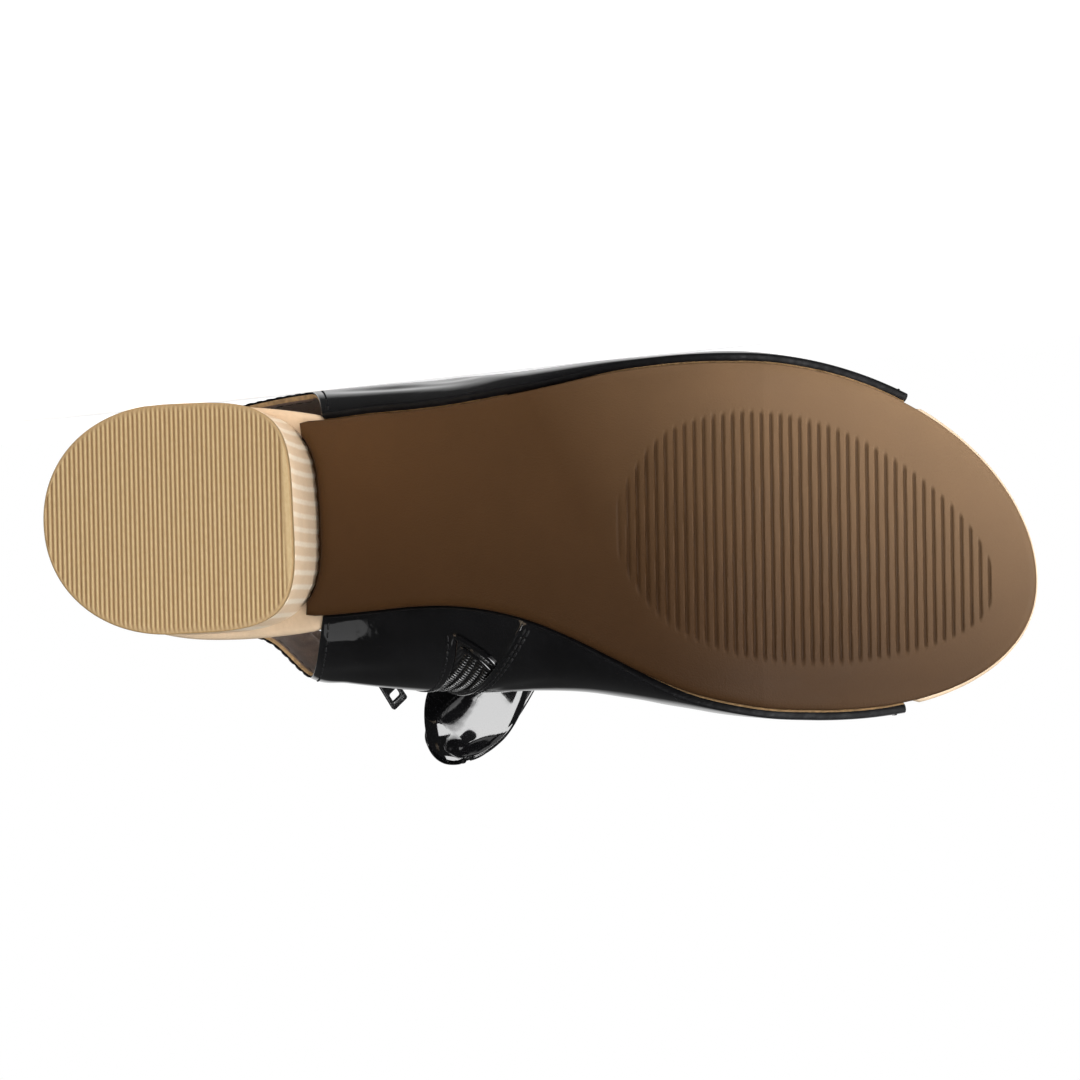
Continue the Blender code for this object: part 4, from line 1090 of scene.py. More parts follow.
def footbed_finish(colours):
    """Cream leather cover with a fine pebble."""
    finish, tree, shader, place = new_finish("footbed_leather")
    tone = mottled(tree, place, colours.footbed, scale=0.12, spread=0.1)
    cells = node(tree, "TexVoronoi", {"Vector": place, "Scale": 1.6}).outputs["Distance"]
    hairs = grain(tree, place, (0.9, 0.9, 2.0))
    hair_tone = opaque(shade(colours.footbed, 0.82))
    streak = mixed(tree, sums(tree, "MULTIPLY", hairs, 0.3), tone["Colour"], hair_tone)
    dress(tree, shader, streak, between(tree, cells, 0.5, 0.65), cells, depth=0.04)
    return finish


def tape_finish(colours):
    """Black woven tape: fine ribs along and across."""
    finish, tree, shader, place = new_finish("woven_tape")
    parts = separate(tree, attribute(tree, "weave")["Vector"])
    ribs = use(tree, "Bands", {"Position": parts["X"], "Pitch": 0.9, "Wander": 0.0})["Value"]
    picks = use(tree, "Bands", {"Position": parts["Y"], "Pitch": 0.6, "Wander": 0.0})["Value"]
    height = sums(tree, "MULTIPLY_ADD", picks, 0.5, ribs)
    tone = mottled(tree, place, colours.tape, scale=0.7, spread=0.4)["Colour"]
    dress(tree, shader, tone, ramp(tree, height, 0.0, 1.5, 0.75, 0.5), height, depth=0.16)
    return finish


def coil_finish(colours):
    """Black nylon coil, glossy with fine scuffs."""
    tone = shade(colours.tape, 1.3)
    return grained_finish(
        "nylon_coil", tone, scale=0.6, spread=0.4, stretch=(2.0, 2.0, 2.0), rough=(0.2, 0.32),
        depth=0.02, sockets={"Specular IOR Level": 0.9},
    )


def metal_finish(colours):
    """Black lacquered metal with a faint brushed trace."""
    return grained_finish(
        "lacquered_metal", colours.metal, scale=0.4, spread=0.35, stretch=(0.5, 4.0, 0.5), rough=(0.14, 0.26),
        depth=0.012, sockets={"Metallic": 0.35, "Coat Weight": 0.6, "Coat Roughness": 0.05},
    )


def floor_finish(colours, glow):
    """Pale matt floor with the faintest unevenness, glowing with painted light: less near the sandal, full
    from half a metre on.
    """
    finish, tree, shader, _ = new_finish("floor")
    place = node(tree, "TexCoord").outputs["Object"]
    tone = mottled(tree, place, colours.floor, scale=0.8, spread=0.015)
    pits = grain(tree, place, (90.0, 90.0, 90.0))
    dress(tree, shader, tone["Colour"], between(tree, tone["Value"], 0.85, 0.95), pits, depth=0.02)
    # Painted light: the floor glows by itself and lights the sandal from below, less near the sandal so that
    # its shadows show
    away = node(tree, "VectorMath", {0: place}, operation="LENGTH").outputs["Value"]
    painted_glow = ramp(tree, away, 0.12, 0.5, glow, 1.0)
    tree.links.new(painted_glow, shader.inputs["Emission Color"])
    set_sockets(shader, {"Emission Strength": 1.0})
    return finish


def finish_for(scene, name):
    """Finish by name, made when it is first needed."""
    colours, sizes = scene.sandal_colours, scene.sandal_sizes
    makers = {
        "patent": lambda: patent_finish(colours),
        "lining": lambda: lining_finish(colours),
        "cut_edge": lambda: cut_edge_finish(colours),
        "edge_paint": lambda: edge_paint_finish(colours),
        "thread": lambda: thread_finish("thread", shade(colours.patent, 2.0)),
        "lining_thread": lambda: thread_finish("lining_thread", shade(colours.lining, 0.3)),
        "tip_rubber": lambda: tip_finish(colours),
        "wood": lambda: wood_finish(colours, sizes),
        "moulded_rubber": lambda: sole_finish(colours),
        "footbed_leather": lambda: footbed_finish(colours),
        "woven_tape": lambda: tape_finish(colours),
        "nylon_coil": lambda: coil_finish(colours),
        "lacquered_metal": lambda: metal_finish(colours),
        "floor": lambda: floor_finish(colours, scene.sandal_stage.floor_glow),
    }
    return bpy.data.materials.get(name) or makers[name]()


# Heel and sole


def ground(x):
    """Height of the heel tip's lower face."""
    return np.zeros_like(x)


def lift_top(x):
    """Height of the heel tip's upper face."""
    return np.full_like(x, LIFT_THICK)


def make_heel_tip(scene):
    """Ribbed tip: rows along the heel's own length, closer together at both rounded ends."""
    sizes = scene.sandal_sizes
    pitch, depth = sizes.tip_rib_pitch / MM, sizes.tip_rib_depth / MM
    row = HEEL_TREAD
    back, front, half = row.back - TIP_INSET, row.front - TIP_INSET, row.half_width - TIP_INSET
    back_end, front_end = TIP_CROWD_BACK * back, TIP_CROWD_FRONT * front
    rear_rows = -crowded(back_end, back, TIP_END_ROWS)[:0:-1]
    front_rows = crowded(front_end, front, TIP_END_ROWS)[1:]
    along = np.concatenate([rear_rows, np.linspace(-back_end, front_end, TIP_ROWS), front_rows])
    power = np.where(along > 0, row.front_power, HEEL_BACK_POWER)
    reach = np.abs(along) / np.where(along > 0, front, back)
    wide = half * (1 - reach**power) ** (1 / power)
    aside = wide[:, None] * np.linspace(-1, 1, TIP_COLUMNS)[None, :]
    plan = heel_place(row, along[:, None] + 0 * aside, aside)
    turns = (plan[..., 0] - TIP_RIB_SLANT * plan[..., 1]) / pitch
    ridge = (0.5 - 0.5 * np.cos(2 * math.pi * turns)) ** TIP_RIDGE_POWER
    inset = np.minimum(wide[:, None] - np.abs(aside), (along + back)[:, None])
    from_strip = ((front - along)[:, None] - TIP_SMOOTH_FRONT) / TIP_FRONT_FADE
    fade = smooth_step(inset / TIP_EDGE_FADE) * smooth_step(from_strip)
    points, faces = slab(plan, depth * (1 - ridge) * fade, ground, lift_top, TIP_RIM)
    relief = np.full(len(points), RELIEF_FACE)
    plain = RELIEF_FACE + TIP_FRONT_PALER * smooth_step(-from_strip)
    relief[: ridge.size] = (plain + fade * (ridge - plain)).ravel()
    finishes = [finish_for(scene, "tip_rubber")]
    add_piece("heel_tip", points, faces, finishes, "heel_tip_rubber", nodes=["top_lift"], relief=relief)


def make_heel_block(scene):
    """Wood block: heel outlines stacked from the tip to the seat, with the breast's bands a trace fuller."""
    pitch = scene.sandal_sizes.wood_band_pitch / MM
    foot = LIFT_THICK + GAP
    rings = []
    for share in np.linspace(0, 1, HEEL_RINGS):
        plan = heel_outline(share, HEEL_POINTS)
        front = heel_row(share).middle + BREAST_START * heel_row(share).front
        bands = np.cos(2 * math.pi * plan[:, 1] / pitch)
        swell = BAND_SWELL * bands * smooth_step((plan[:, 0] - front) / BREAST_RUN)
        height = foot + (sole_height(plan[:, 0]) - foot) * share
        rings.append(np.column_stack([plan[:, 0] + swell, plan[:, 1], height]))
    seat = rings[-1][:, :2]
    middle = seat.mean(axis=0)
    for scale in HEEL_CAP_RINGS:
        plan = middle + (seat - middle) * scale
        rings.append(np.column_stack([plan, sole_height(plan[:, 0])]))
    points, faces = stacked_rings(rings)
    add_piece("heel_stack", points, faces, [finish_for(scene, "wood")], "heel_wood", nodes=["heel_block"])


def field_depth(x, y):
    """How far a place lies inside the ribbed field, seen from its middle."""
    rows = FIELD_EDGE[-1:] + FIELD_EDGE + FIELD_EDGE[:2]
    edge = rows_at(rows, np.linspace(1, len(FIELD_EDGE) + 1, 240, endpoint=False)) - np.array(FIELD_MIDDLE)
    angles, radii = np.arctan2(edge[:, 1], edge[:, 0]), np.hypot(edge[:, 0], edge[:, 1])
    order = np.argsort(angles)
    off_x, off_y = x - FIELD_MIDDLE.x, y - FIELD_MIDDLE.y
    limit = np.interp(np.arctan2(off_y, off_x), angles[order], radii[order], period=2 * math.pi)
    return limit - np.hypot(off_x, off_y)


def sole_plan():
    """Plan grid of the outsole inside its rim: fine rows under the ball, and a back end along the heel."""
    back = HEEL_SEAT.middle + HEEL_SEAT.front + GAP + SOLE_INSET
    x = np.concatenate([
        np.linspace(back, SOLE_FINE_START, SOLE_WAIST_ROWS, endpoint=False),
        np.linspace(SOLE_FINE_START, SOLE_FINE_END, SOLE_FINE_ROWS, endpoint=False),
        crowded(SOLE_FINE_END, TOE_TIP[0] - SOLE_INSET, SOLE_TOE_ROWS),
    ])
    shares = np.linspace(0, 1, SOLE_COLUMNS)
    fade = np.clip(1 - (x - back) / BREAST_FADE, 0, 1) ** 2
    plan_x = x[:, None] + 0 * shares
    for _ in range(SOLE_FIT_ROUNDS):
        outer = outsole_edge(plan_x[:, 0], OUTER, -SOLE_INSET)
        plan_y = across(outer, outsole_edge(plan_x[:, -1], INNER, -SOLE_INSET), shares)
        shift = breast_x(plan_y) + BREAST_CLEAR + SOLE_INSET - back
        plan_x = x[:, None] + shift * fade[:, None]
    return np.stack([plan_x, plan_y], axis=-1)


def make_sole(scene):
    """Moulded sole: narrow grooves across the field, shallow at its back end."""
    sizes = scene.sandal_sizes
    pitch, depth = sizes.sole_rib_pitch / MM, sizes.sole_rib_depth / MM
    plan = sole_plan()
    x, y = plan[..., 0], plan[..., 1]
    turn = np.mod((x - SOLE_RIB_SLANT * y) / pitch, 1.0)
    groove = smooth_step((GROOVE_SHARE / 2 - np.abs(turn - 0.5)) / GROOVE_SOFT + 0.5)
    from_back = smooth_step((x - FIELD_BACK) / FIELD_BACK_RUN)
    inside = smooth_step(field_depth(x, y) / FIELD_FADE)
    inside = inside * (FIELD_BACK_SHARE + (1 - FIELD_BACK_SHARE) * from_back)
    points, faces = slab(plan, depth * groove * inside, tread_height, sole_height, SOLE_RIM)
    relief = np.full(len(points), RELIEF_FACE)
    relief[: groove.size] = (RELIEF_FACE + inside * (1 - groove - RELIEF_FACE)).ravel()
    finishes = [finish_for(scene, "moulded_rubber")]
    add_piece("moulded_sole", points, faces, finishes, "sole_rubber", nodes=["outsole"], relief=relief)


def make_footbed(scene):
    """Footbed: a layer with a full round edge between sole and foot."""
    heel_length = INSOLE_HEEL_MIDDLE - INSOLE_BACK - FOOTBED_INSET
    x = np.concatenate([
        INSOLE_HEEL_MIDDLE - crowded(0, heel_length, FOOTBED_END_ROWS)[:0:-1],
        np.linspace(INSOLE_HEEL_MIDDLE, FOOTBED_TOE_START, FOOTBED_ROWS, endpoint=False),
        crowded(FOOTBED_TOE_START, TOE_TIP[0] + INSOLE_TOE_RIM - FOOTBED_INSET, FOOTBED_END_ROWS),
    ])
    shares = np.linspace(0, 1, FOOTBED_COLUMNS)
    y = across(insole_edge(x, OUTER, -FOOTBED_INSET), insole_edge(x, INNER, -FOOTBED_INSET), shares)
    plan = np.stack([x[:, None] + 0 * y, y], axis=-1)
    points, faces = slab(plan, 0 * y, footbed_low, footbed_high, FOOTBED_RIM)
    finishes = [finish_for(scene, "footbed_leather")]
    add_piece("wrapped_footbed", points, faces, finishes, "footbed", nodes=["insole"])


# Upper


def upper_points(ribs, lines, side):
    """Points of the upper's lining side on one side: each rib rises from the sole's edge to its widest point
    and on to its top, as two cubic curves, while x runs along a parabola.
    """
    row = RibRow(*(column[:, None] for column in rows_at(RIBS, ribs).T))
    line = np.atleast_2d(lines)
    foot_y = outsole_edge(row.foot, side) + side * FOOT_OUT
    foot_z = footbed_low(row.foot)
    wide_y = row.wide_in if side == INNER else row.wide_out
    top_y = row.mid + side * np.maximum(row.open, 0) * (ribs[:, None] > THROAT_RIB)
    low = np.clip(line / WIDE_LINE, 0, 1)
    high = np.clip((line - WIDE_LINE) / (1 - WIDE_LINE), 0, 1)
    rise, crown = row.z_wide - foot_z, row.z_top - row.z_wide
    low_y = bezier(foot_y, foot_y + FOOT_FLARE * (wide_y - foot_y), wide_y, wide_y, low)
    low_z = bezier(foot_z, foot_z + FOOT_RISE * rise, row.z_wide - WIDE_PULL * rise, row.z_wide, low)
    arrive_y = top_y + (TOP_LEAN + ROOF_REACH * row.roof) * (wide_y - top_y)
    arrive_z = row.z_top - COLLAR_PULL * (1 - row.roof) * crown
    high_y = bezier(wide_y, wide_y, arrive_y, top_y, high)
    high_z = bezier(row.z_wide, row.z_wide + WIDE_PULL * crown, arrive_z, row.z_top, high)
    below = line <= WIDE_LINE
    bend = 2 * (row.foot + row.top - 2 * row.wide)
    x = row.foot + (row.top - row.foot - bend) * line + bend * line**2
    return np.stack([x, np.where(below, low_y, high_y), np.where(below, low_z, high_z)], axis=-1)


def zip_foot(ribs):
    """Line at which the zip's slot ends below."""
    return np.interp(ribs, [row.rib for row in ZIP_FOOT], [row.line for row in ZIP_FOOT])[:, None]


def inner_lines(ribs, lines):
    """Grid lines of the inner side, drawn down so that one of them follows the slot's lower end."""
    foot, line = zip_foot(ribs), lines[None, :]
    under = line * foot / ZIP_FOOT_LINE
    over = foot + (line - ZIP_FOOT_LINE) * (WIDE_LINE - foot) / (WIDE_LINE - ZIP_FOOT_LINE)
    return np.where(line < ZIP_FOOT_LINE, under, np.where(line < WIDE_LINE, over, line))


def wall_at(ribs, side):
    """Thickness of the upper: the vamp's on the inner side up to its seam, fading round the outer side."""
    inner = np.where(ribs <= SEAM_RIB, VAMP_WALL, WALL)
    share = np.clip((BACK_RIB - ribs) / (BACK_RIB - REAR_RIB), 0, 1)
    return np.where(side == INNER, inner, WALL + (VAMP_WALL - WALL) * share)


def creases(ribs, lines, side):
    """Depth of the soft troughs and ridges: bell curves along and across each."""
    total = 0.0 * ribs
    for crease in CREASES:
        along = (ribs - crease.rib) / crease.rib_reach
        aside = (lines - crease.line - crease.slant * (ribs - crease.rib)) / crease.line_reach
        total = total + crease.depth * np.exp(-(along**2) - aside**2) * (side == crease.side)
    return total


def upper_surface():
    """Both sides of the upper as one open surface with its windows cut out. Gives points, quads, and the rib,
    line and side of each point.
    """
    ribs = even_steps(UPPER_RIB_STOPS, UPPER_RIB_STEPS)
    lines = even_steps(UPPER_LINE_STOPS, UPPER_LINE_STEPS)
    rib_middle = (ribs[1:] + ribs[:-1])[:, None] / 2
    line_middle = (lines[1:] + lines[:-1])[None, :] / 2
    heel_window = (rib_middle > REAR_RIB) & (line_middle < WIDE_LINE)
    slot = (rib_middle > SEAM_RIB) & (rib_middle < ZIP_RIB) & (line_middle > ZIP_FOOT_LINE)
    shape = (len(ribs), len(lines))
    points, quads, places = [], [], []
    for number, side in enumerate((OUTER, INNER)):
        side_lines = inner_lines(ribs, lines) if side == INNER else np.broadcast_to(lines, shape)
        points.append(upper_points(ribs, side_lines, side).reshape(-1, 3))
        kept = ~heel_window & ~(slot & (side == INNER))
        side_quads = grid_quads(*shape, number * ribs.size * lines.size)[kept.ravel()]
        quads.append(side_quads if side == INNER else side_quads[:, ::-1])
        side_ribs = np.broadcast_to(ribs[:, None], shape)
        places.append(np.stack([side_ribs, side_lines, np.full(shape, side)], axis=-1).reshape(-1, 3))
    points, quads, first = welded(np.vstack(points), np.vstack(quads))
    return points, quads, np.vstack(places)[first].T


def make_upper(scene):
    """Patent upper: taupe lining inside, a tan cut edge under the strap and edge paint at the sole."""
    points, quads, (ribs, lines, sides) = upper_surface()
    wall = wall_at(ribs, sides) - creases(ribs, lines, sides)
    all_points, all_quads, labels, _, ends = shell(points, quads, wall, RIM_BULGE)
    under_strap = ((np.abs(lines - WIDE_LINE) < SAME) & (ribs > REAR_RIB - SAME))[ends].all(axis=1)
    on_sole = (lines < SAME)[ends].all(axis=1)
    at_seam = (np.abs(ribs - SEAM_RIB) < SEAM_REACH)[ends].any(axis=1)
    slots = np.where(labels == RIM_ROWS + 1, 1, 0)
    for row in range(1, RIM_ROWS + 1):
        sole_slot = np.where(at_seam, SOLE_EDGE_SLOTS[0], SOLE_EDGE_SLOTS[row - 1]) * on_sole
        slots[labels == row] = np.where(under_strap, STRAP_EDGE_SLOTS[row - 1], sole_slot)
    finishes = [finish_for(scene, name) for name in UPPER_FINISHES]
    add_piece(
        "patent_upper", all_points, [all_quads], finishes, "patent_leather", nodes=["upper"], face_slots=slots
    )


# Stitching

# Rows of stitches: where each starts and ends on the upper, and how many millimetres it is moved along the
# ribs (over 0 to the back) and up the lines
StitchRow = namedtuple("StitchRow", "side start end rib_shift line_shift")
OUTSIDE_STITCHES = [
    StitchRow(INNER, (SEAM_RIB, 0.02), (SEAM_RIB, 0.985), -1.7, 0),
    StitchRow(INNER, (SEAM_RIB, 0.02), (SEAM_RIB, 0.985), -3.5, 0),
    StitchRow(INNER, (ZIP_RIB, 0.1), (ZIP_RIB, 0.985), 1.7, 0),
    StitchRow(INNER, (ZIP_RIB, 1), (BACK_RIB, 1), 0, -2.0),
    StitchRow(INNER, (6.5, 1), (SEAM_RIB, 1), 0, -2.0),
    StitchRow(OUTER, (6.5, 1), (BACK_RIB, 1), 0, -2.0),
    StitchRow(OUTER, (0, 0.03), (0, 1), 2.2, 0),
    StitchRow(INNER, (0, 0.03), (0, 1), 2.2, 0),
    StitchRow(OUTER, (REAR_RIB, 0.02), (REAR_RIB, WIDE_LINE), -1.7, 0),
    StitchRow(INNER, (REAR_RIB, 0.02), (REAR_RIB, WIDE_LINE), -1.7, 0),
    StitchRow(OUTER, (REAR_RIB, WIDE_LINE), (BACK_RIB, WIDE_LINE), 0, 1.7),
    StitchRow(INNER, (REAR_RIB, WIDE_LINE), (BACK_RIB, WIDE_LINE), 0, 1.7),
]
LINING_STITCHES = [
    StitchRow(OUTER, (REAR_RIB, WIDE_LINE), (BACK_RIB, WIDE_LINE), 0, 2.0),
    StitchRow(INNER, (REAR_RIB, WIDE_LINE), (BACK_RIB, WIDE_LINE), 0, 2.0),
]
STITCH_SUNK = 0.08
STITCH_PATH_STEPS = 300


def surface_at(ribs, lines, side):
    """Upper's lining side at pairs of rib and line: points, normals, and millimetres per rib and line."""
    step = 1e-3
    line = lines[:, None]
    rib_way = upper_points(ribs + step, line, side) - upper_points(ribs - step, line, side)
    line_way = upper_points(ribs, line + step, side) - upper_points(ribs, line - step, side)
    rib_way, line_way = rib_way[:, 0] / (2 * step), line_way[:, 0] / (2 * step)
    normals = unit(np.cross(rib_way, line_way)) * side
    points = upper_points(ribs, line, side)[:, 0]
    return points, normals, np.linalg.norm(rib_way, axis=1), np.linalg.norm(line_way, axis=1)


def spaced(points, normals, pitch):
    """Places at an even pitch along a path, with the way ahead and the normal at each."""
    run = np.concatenate([[0], np.cumsum(np.linalg.norm(np.diff(points, axis=0), axis=1))])
    spots = np.arange(pitch / 2, run[-1], pitch)
    ahead = np.gradient(points, run, axis=0)
    columns = [np.stack([np.interp(spots, run, part[:, k]) for k in range(3)], axis=-1)
               for part in (points, ahead, normals)]
    middles, ahead, normals = columns
    ahead = unit(ahead - normals * (ahead * normals).sum(axis=1, keepdims=True))
    return middles, ahead, unit(normals)


def stitch_row(row, sizes, inside):
    """Stitches of one row, sunk a little in the leather."""
    share = np.linspace(0, 1, STITCH_PATH_STEPS)
    ribs = row.start[0] + (row.end[0] - row.start[0]) * share
    lines = row.start[1] + (row.end[1] - row.start[1]) * share
    _, _, per_rib, per_line = surface_at(ribs, lines, row.side)
    ribs, lines = ribs + row.rib_shift / per_rib, lines + row.line_shift / per_line
    points, normals, _, _ = surface_at(ribs, lines, row.side)
    wall = wall_at(ribs, row.side) - creases(ribs, lines, row.side)
    if inside:
        wall, normals = 0 * wall, -normals
    path = points + normals * (wall - STITCH_SUNK)[:, None]
    middles, ahead, normals = spaced(path, normals, sizes.stitch_pitch / MM)
    wide = sizes.stitch_width / MM
    return capsules(middles, ahead, normals, sizes.stitch_length / MM, wide, wide)


def make_stitching(scene):
    """All stitches outside as one piece and those on the lining as another."""
    sizes = scene.sandal_sizes
    points, faces = joined([stitch_row(row, sizes, False) for row in OUTSIDE_STITCHES])
    add_piece("stitching", points, faces, [finish_for(scene, "thread")], "patent_leather")
    points, faces = joined([stitch_row(row, sizes, True) for row in LINING_STITCHES])
    add_piece("lining_stitching", points, faces, [finish_for(scene, "lining_thread")], "patent_leather")


# Zip

TAPE_SHARES = (0.05, 0.95)
TAPE_SUNK, TAPE_THICK, TAPE_RIM_BULGE, TAPE_RIM_ROWS = 0.3, 0.6, 0.2, 4
TAPE_COLUMNS, TAPE_ROWS, COIL_STEPS = 15, 140, 400
TAPE_FOOT_CLEAR, COIL_FOOT_CLEAR, COIL_TOP_CLEAR = 0.012, 0.03, 0.01
COIL_HEIGHT, TOOTH_LONG, TOOTH_WIDE, TOOTH_HIGH = 1.1, 1.6, 0.85, 1.0
TOOTH_ROWS = (-3.0, -1.05, 1.05, 3.0)
STOP_LONG, STOP_WIDE, STOP_HIGH = 6.4, 1.9, 1.5
BEAD_SIDES, BEAD_TAPER_STEPS, BEAD_END, BEAD_SUNK = 12, 4, 0.05, 0.1
PIPING_THICK, PIPING_START, PIPING_STEPS, PIPING_BELOW, PIPING_PROUD = 1.6, 0.06, 60, 0.004, 0.15
SLOT_FOLD_THICK, SLOT_FOLD_ABOVE, SLOT_FOLD_SHORTER = 1.1, 0.035, 8
SEAM_EDGE_THICK, SEAM_EDGE_LINES, SEAM_EDGE_STEPS = 0.9, (0.005, 0.97), 120


def make_tape(scene):
    """Woven tape in the zip's slot."""
    ribs = SEAM_RIB + np.linspace(*TAPE_SHARES, TAPE_COLUMNS) * (ZIP_RIB - SEAM_RIB)
    foot = zip_foot(ribs) + TAPE_FOOT_CLEAR
    lines = foot + (ZIP_TOP_LINE - foot) * np.linspace(0, 1, TAPE_ROWS)[None, :]
    grid = upper_points(ribs, lines, INNER)
    quads = grid_quads(*grid.shape[:2])
    flat = grid.reshape(-1, 3)
    sunk = flat + point_normals(flat, quads) * TAPE_SUNK
    points, faces, _, sources, _ = shell(sunk, quads, TAPE_THICK, TAPE_RIM_BULGE, TAPE_RIM_ROWS)
    steps_across = np.linalg.norm(np.diff(grid, axis=0, prepend=grid[:1]), axis=-1).cumsum(axis=0)
    steps_along = np.linalg.norm(np.diff(grid, axis=1, prepend=grid[:, :1]), axis=-1).cumsum(axis=1)
    weave = np.stack([steps_across, steps_along, 0 * steps_along], axis=-1).reshape(-1, 3)[sources]
    finishes = [finish_for(scene, "woven_tape")]
    add_piece("zip_tape_woven", points, [faces], finishes, "zip_tape", nodes=["zip_band"], weave=weave)


def make_coil(scene):
    """Coil on the tape: staggered rows of teeth with a stop at their lower end."""
    middle = np.full(COIL_STEPS, ZIP_MIDDLE_RIB)
    low = zip_foot(middle)[0, 0] + COIL_FOOT_CLEAR
    lines = np.linspace(low, ZIP_TOP_LINE - COIL_TOP_CLEAR, COIL_STEPS)
    points, normals, _, _ = surface_at(middle, lines, INNER)
    raised = points + normals * COIL_HEIGHT
    spots, ahead, normals = spaced(raised, normals, scene.sandal_sizes.tooth_pitch / MM / 2)
    aside = np.cross(normals, ahead)
    parts = []
    for row, off in enumerate(TOOTH_ROWS):
        own = np.arange(len(spots)) % 2 == row % 2
        middles = (spots + aside * off)[own]
        parts.append(capsules(middles, aside[own], normals[own], TOOTH_LONG, TOOTH_WIDE, TOOTH_HIGH))
    parts.append(capsules(spots[:1], aside[:1], normals[:1], STOP_LONG, STOP_WIDE, STOP_HIGH))
    points, faces = joined(parts)
    add_piece("zip_coil", points, faces, [finish_for(scene, "nylon_coil")], "zip_tape")


def bead(ribs, lines, height, thick):
    """Round bead on the inner side: a circle carried along pairs of rib and line, closed at both ends."""
    points, normals, _, _ = surface_at(ribs, lines, INNER)
    path = points + normals * height
    ahead = unit(np.gradient(path, axis=0))
    aside = np.cross(ahead, normals)
    angle = np.linspace(0, 2 * math.pi, BEAD_SIDES, endpoint=False)[:, None, None]
    number = np.arange(len(path))
    from_end = np.minimum(number, number[::-1])
    taper = np.sqrt(np.clip(from_end / BEAD_TAPER_STEPS, BEAD_END, 1))[:, None]
    rings = path + thick / 2 * taper * (np.cos(angle) * aside + np.sin(angle) * normals)
    return stacked_rings(list(rings.transpose(1, 0, 2)))


def make_piping(scene):
    """Piping along the lower end of the zip's slot, the fold above it and the edge of the vamp's seam."""
    ribs = SEAM_RIB + np.linspace(PIPING_START, 1.0, PIPING_STEPS) * (ZIP_RIB - SEAM_RIB)
    foot = zip_foot(ribs)[:, 0]
    fold_ribs, fold_foot = ribs[:-SLOT_FOLD_SHORTER], foot[:-SLOT_FOLD_SHORTER]
    seam = np.full(SEAM_EDGE_STEPS, SEAM_RIB)
    points, faces = joined([
        bead(ribs, foot - PIPING_BELOW, WALL + PIPING_PROUD, PIPING_THICK),
        bead(fold_ribs, fold_foot + SLOT_FOLD_ABOVE, WALL - BEAD_SUNK, SLOT_FOLD_THICK),
        bead(seam, np.linspace(*SEAM_EDGE_LINES, SEAM_EDGE_STEPS), VAMP_WALL - BEAD_SUNK, SEAM_EDGE_THICK),
    ])
    add_piece("piping", points, faces, [finish_for(scene, "patent")], "patent_leather")


def slider_axes():
    """Slider's seat: a turn whose columns run across the zip, up along it and out, and the origin."""
    lines = SLIDER_LINE + np.array([-SLIDER_STEP, 0, SLIDER_STEP])
    points, normals, _, _ = surface_at(np.full(3, ZIP_MIDDLE_RIB), lines, INNER)
    outward = normals[1]
    sideways = unit(np.cross(points[2] - points[0], outward))
    upward = np.cross(outward, sideways)
    turn = np.stack([sideways, upward, outward], axis=-1)
    return turn, points[1] + outward * (ZIP_THICK + 1.5 * GAP)


def slider_body():
    """Two plates with a groove between them: a squarish oval outline, narrower below, with stacked insets."""
    angle = np.linspace(0, 2 * math.pi, SLIDER_POINTS, endpoint=False)
    x = signed_power(np.cos(angle), SLIDER_SQUARE)
    y = signed_power(np.sin(angle), SLIDER_SQUARE)
    taper = 1 - (1 - SLIDER_TAPER) * smooth_step(0.5 - 0.5 * y)
    rings = []
    for row in SLIDER_PLATES:
        wide = (SLIDER_WIDTH / 2 * taper - row.inset) * x
        long = (SLIDER_LENGTH / 2 - row.inset) * y
        rings.append(np.column_stack([wide, long, np.full(len(angle), row.height)]))
    return stacked_rings(rings)


def slider_bail():
    """Arch over the slider: a flat rounded strip carried up, over and down."""
    roof = SLIDER_HEIGHT + BAIL_CLEAR + BAIL_STRIP / 2
    turn = np.radians(np.linspace(180, 90, BAIL_CORNER_STEPS))
    corner = np.column_stack([np.cos(turn), np.sin(turn)]) * BAIL_CORNER
    corner += np.array([BAIL_CORNER - BAIL_HALF_SPAN, roof - BAIL_CORNER])
    half = np.vstack([[-BAIL_HALF_SPAN, SLIDER_HEIGHT - BAIL_SUNK], corner])
    arch = np.vstack([half, half[::-1] * np.array([-1, 1])])
    way = unit(np.gradient(arch, axis=0))
    out = np.stack([-way[:, 1], way[:, 0]], axis=-1)
    angle = np.linspace(0, 2 * math.pi, BAIL_SIDES, endpoint=False)
    aside = signed_power(np.cos(angle), BAIL_SQUARE) * BAIL_WIDTH / 2
    thick = signed_power(np.sin(angle), BAIL_SQUARE) * BAIL_STRIP / 2
    rings = [np.column_stack([aside, spot + thick[:, None] * up]) for spot, up in zip(arch, out)]
    return stacked_rings(rings)


def make_slider(scene):
    """Slider with its bail, on the zip near the collar."""
    turn, seat = slider_axes()
    points, faces = joined([slider_body(), slider_bail()])
    finishes = [finish_for(scene, "lacquered_metal")]
    add_piece("slider_and_bail", points @ turn.T + seat, faces, finishes, "black_metal", nodes=["zip_slider"])


def rounded_rectangle(low_half, high_half, low, high, corner):
    """Outline of a plate with rounded corners, between two ends with their own half widths."""
    turn = np.radians(np.linspace(0, 90, TAB_CORNER_STEPS))
    arc = np.stack([np.cos(turn), np.sin(turn)], axis=-1) * corner
    points = []
    for x_sign, y_sign in [(1, 1), (-1, 1), (-1, -1), (1, -1)]:
        half, y = (high_half, high) if y_sign > 0 else (low_half, low)
        swept = arc if x_sign * y_sign > 0 else arc[::-1]
        centre = np.array([x_sign * (half - corner), y - y_sign * corner])
        points.append(centre + swept * np.array([x_sign, y_sign]))
    return np.vstack(points)


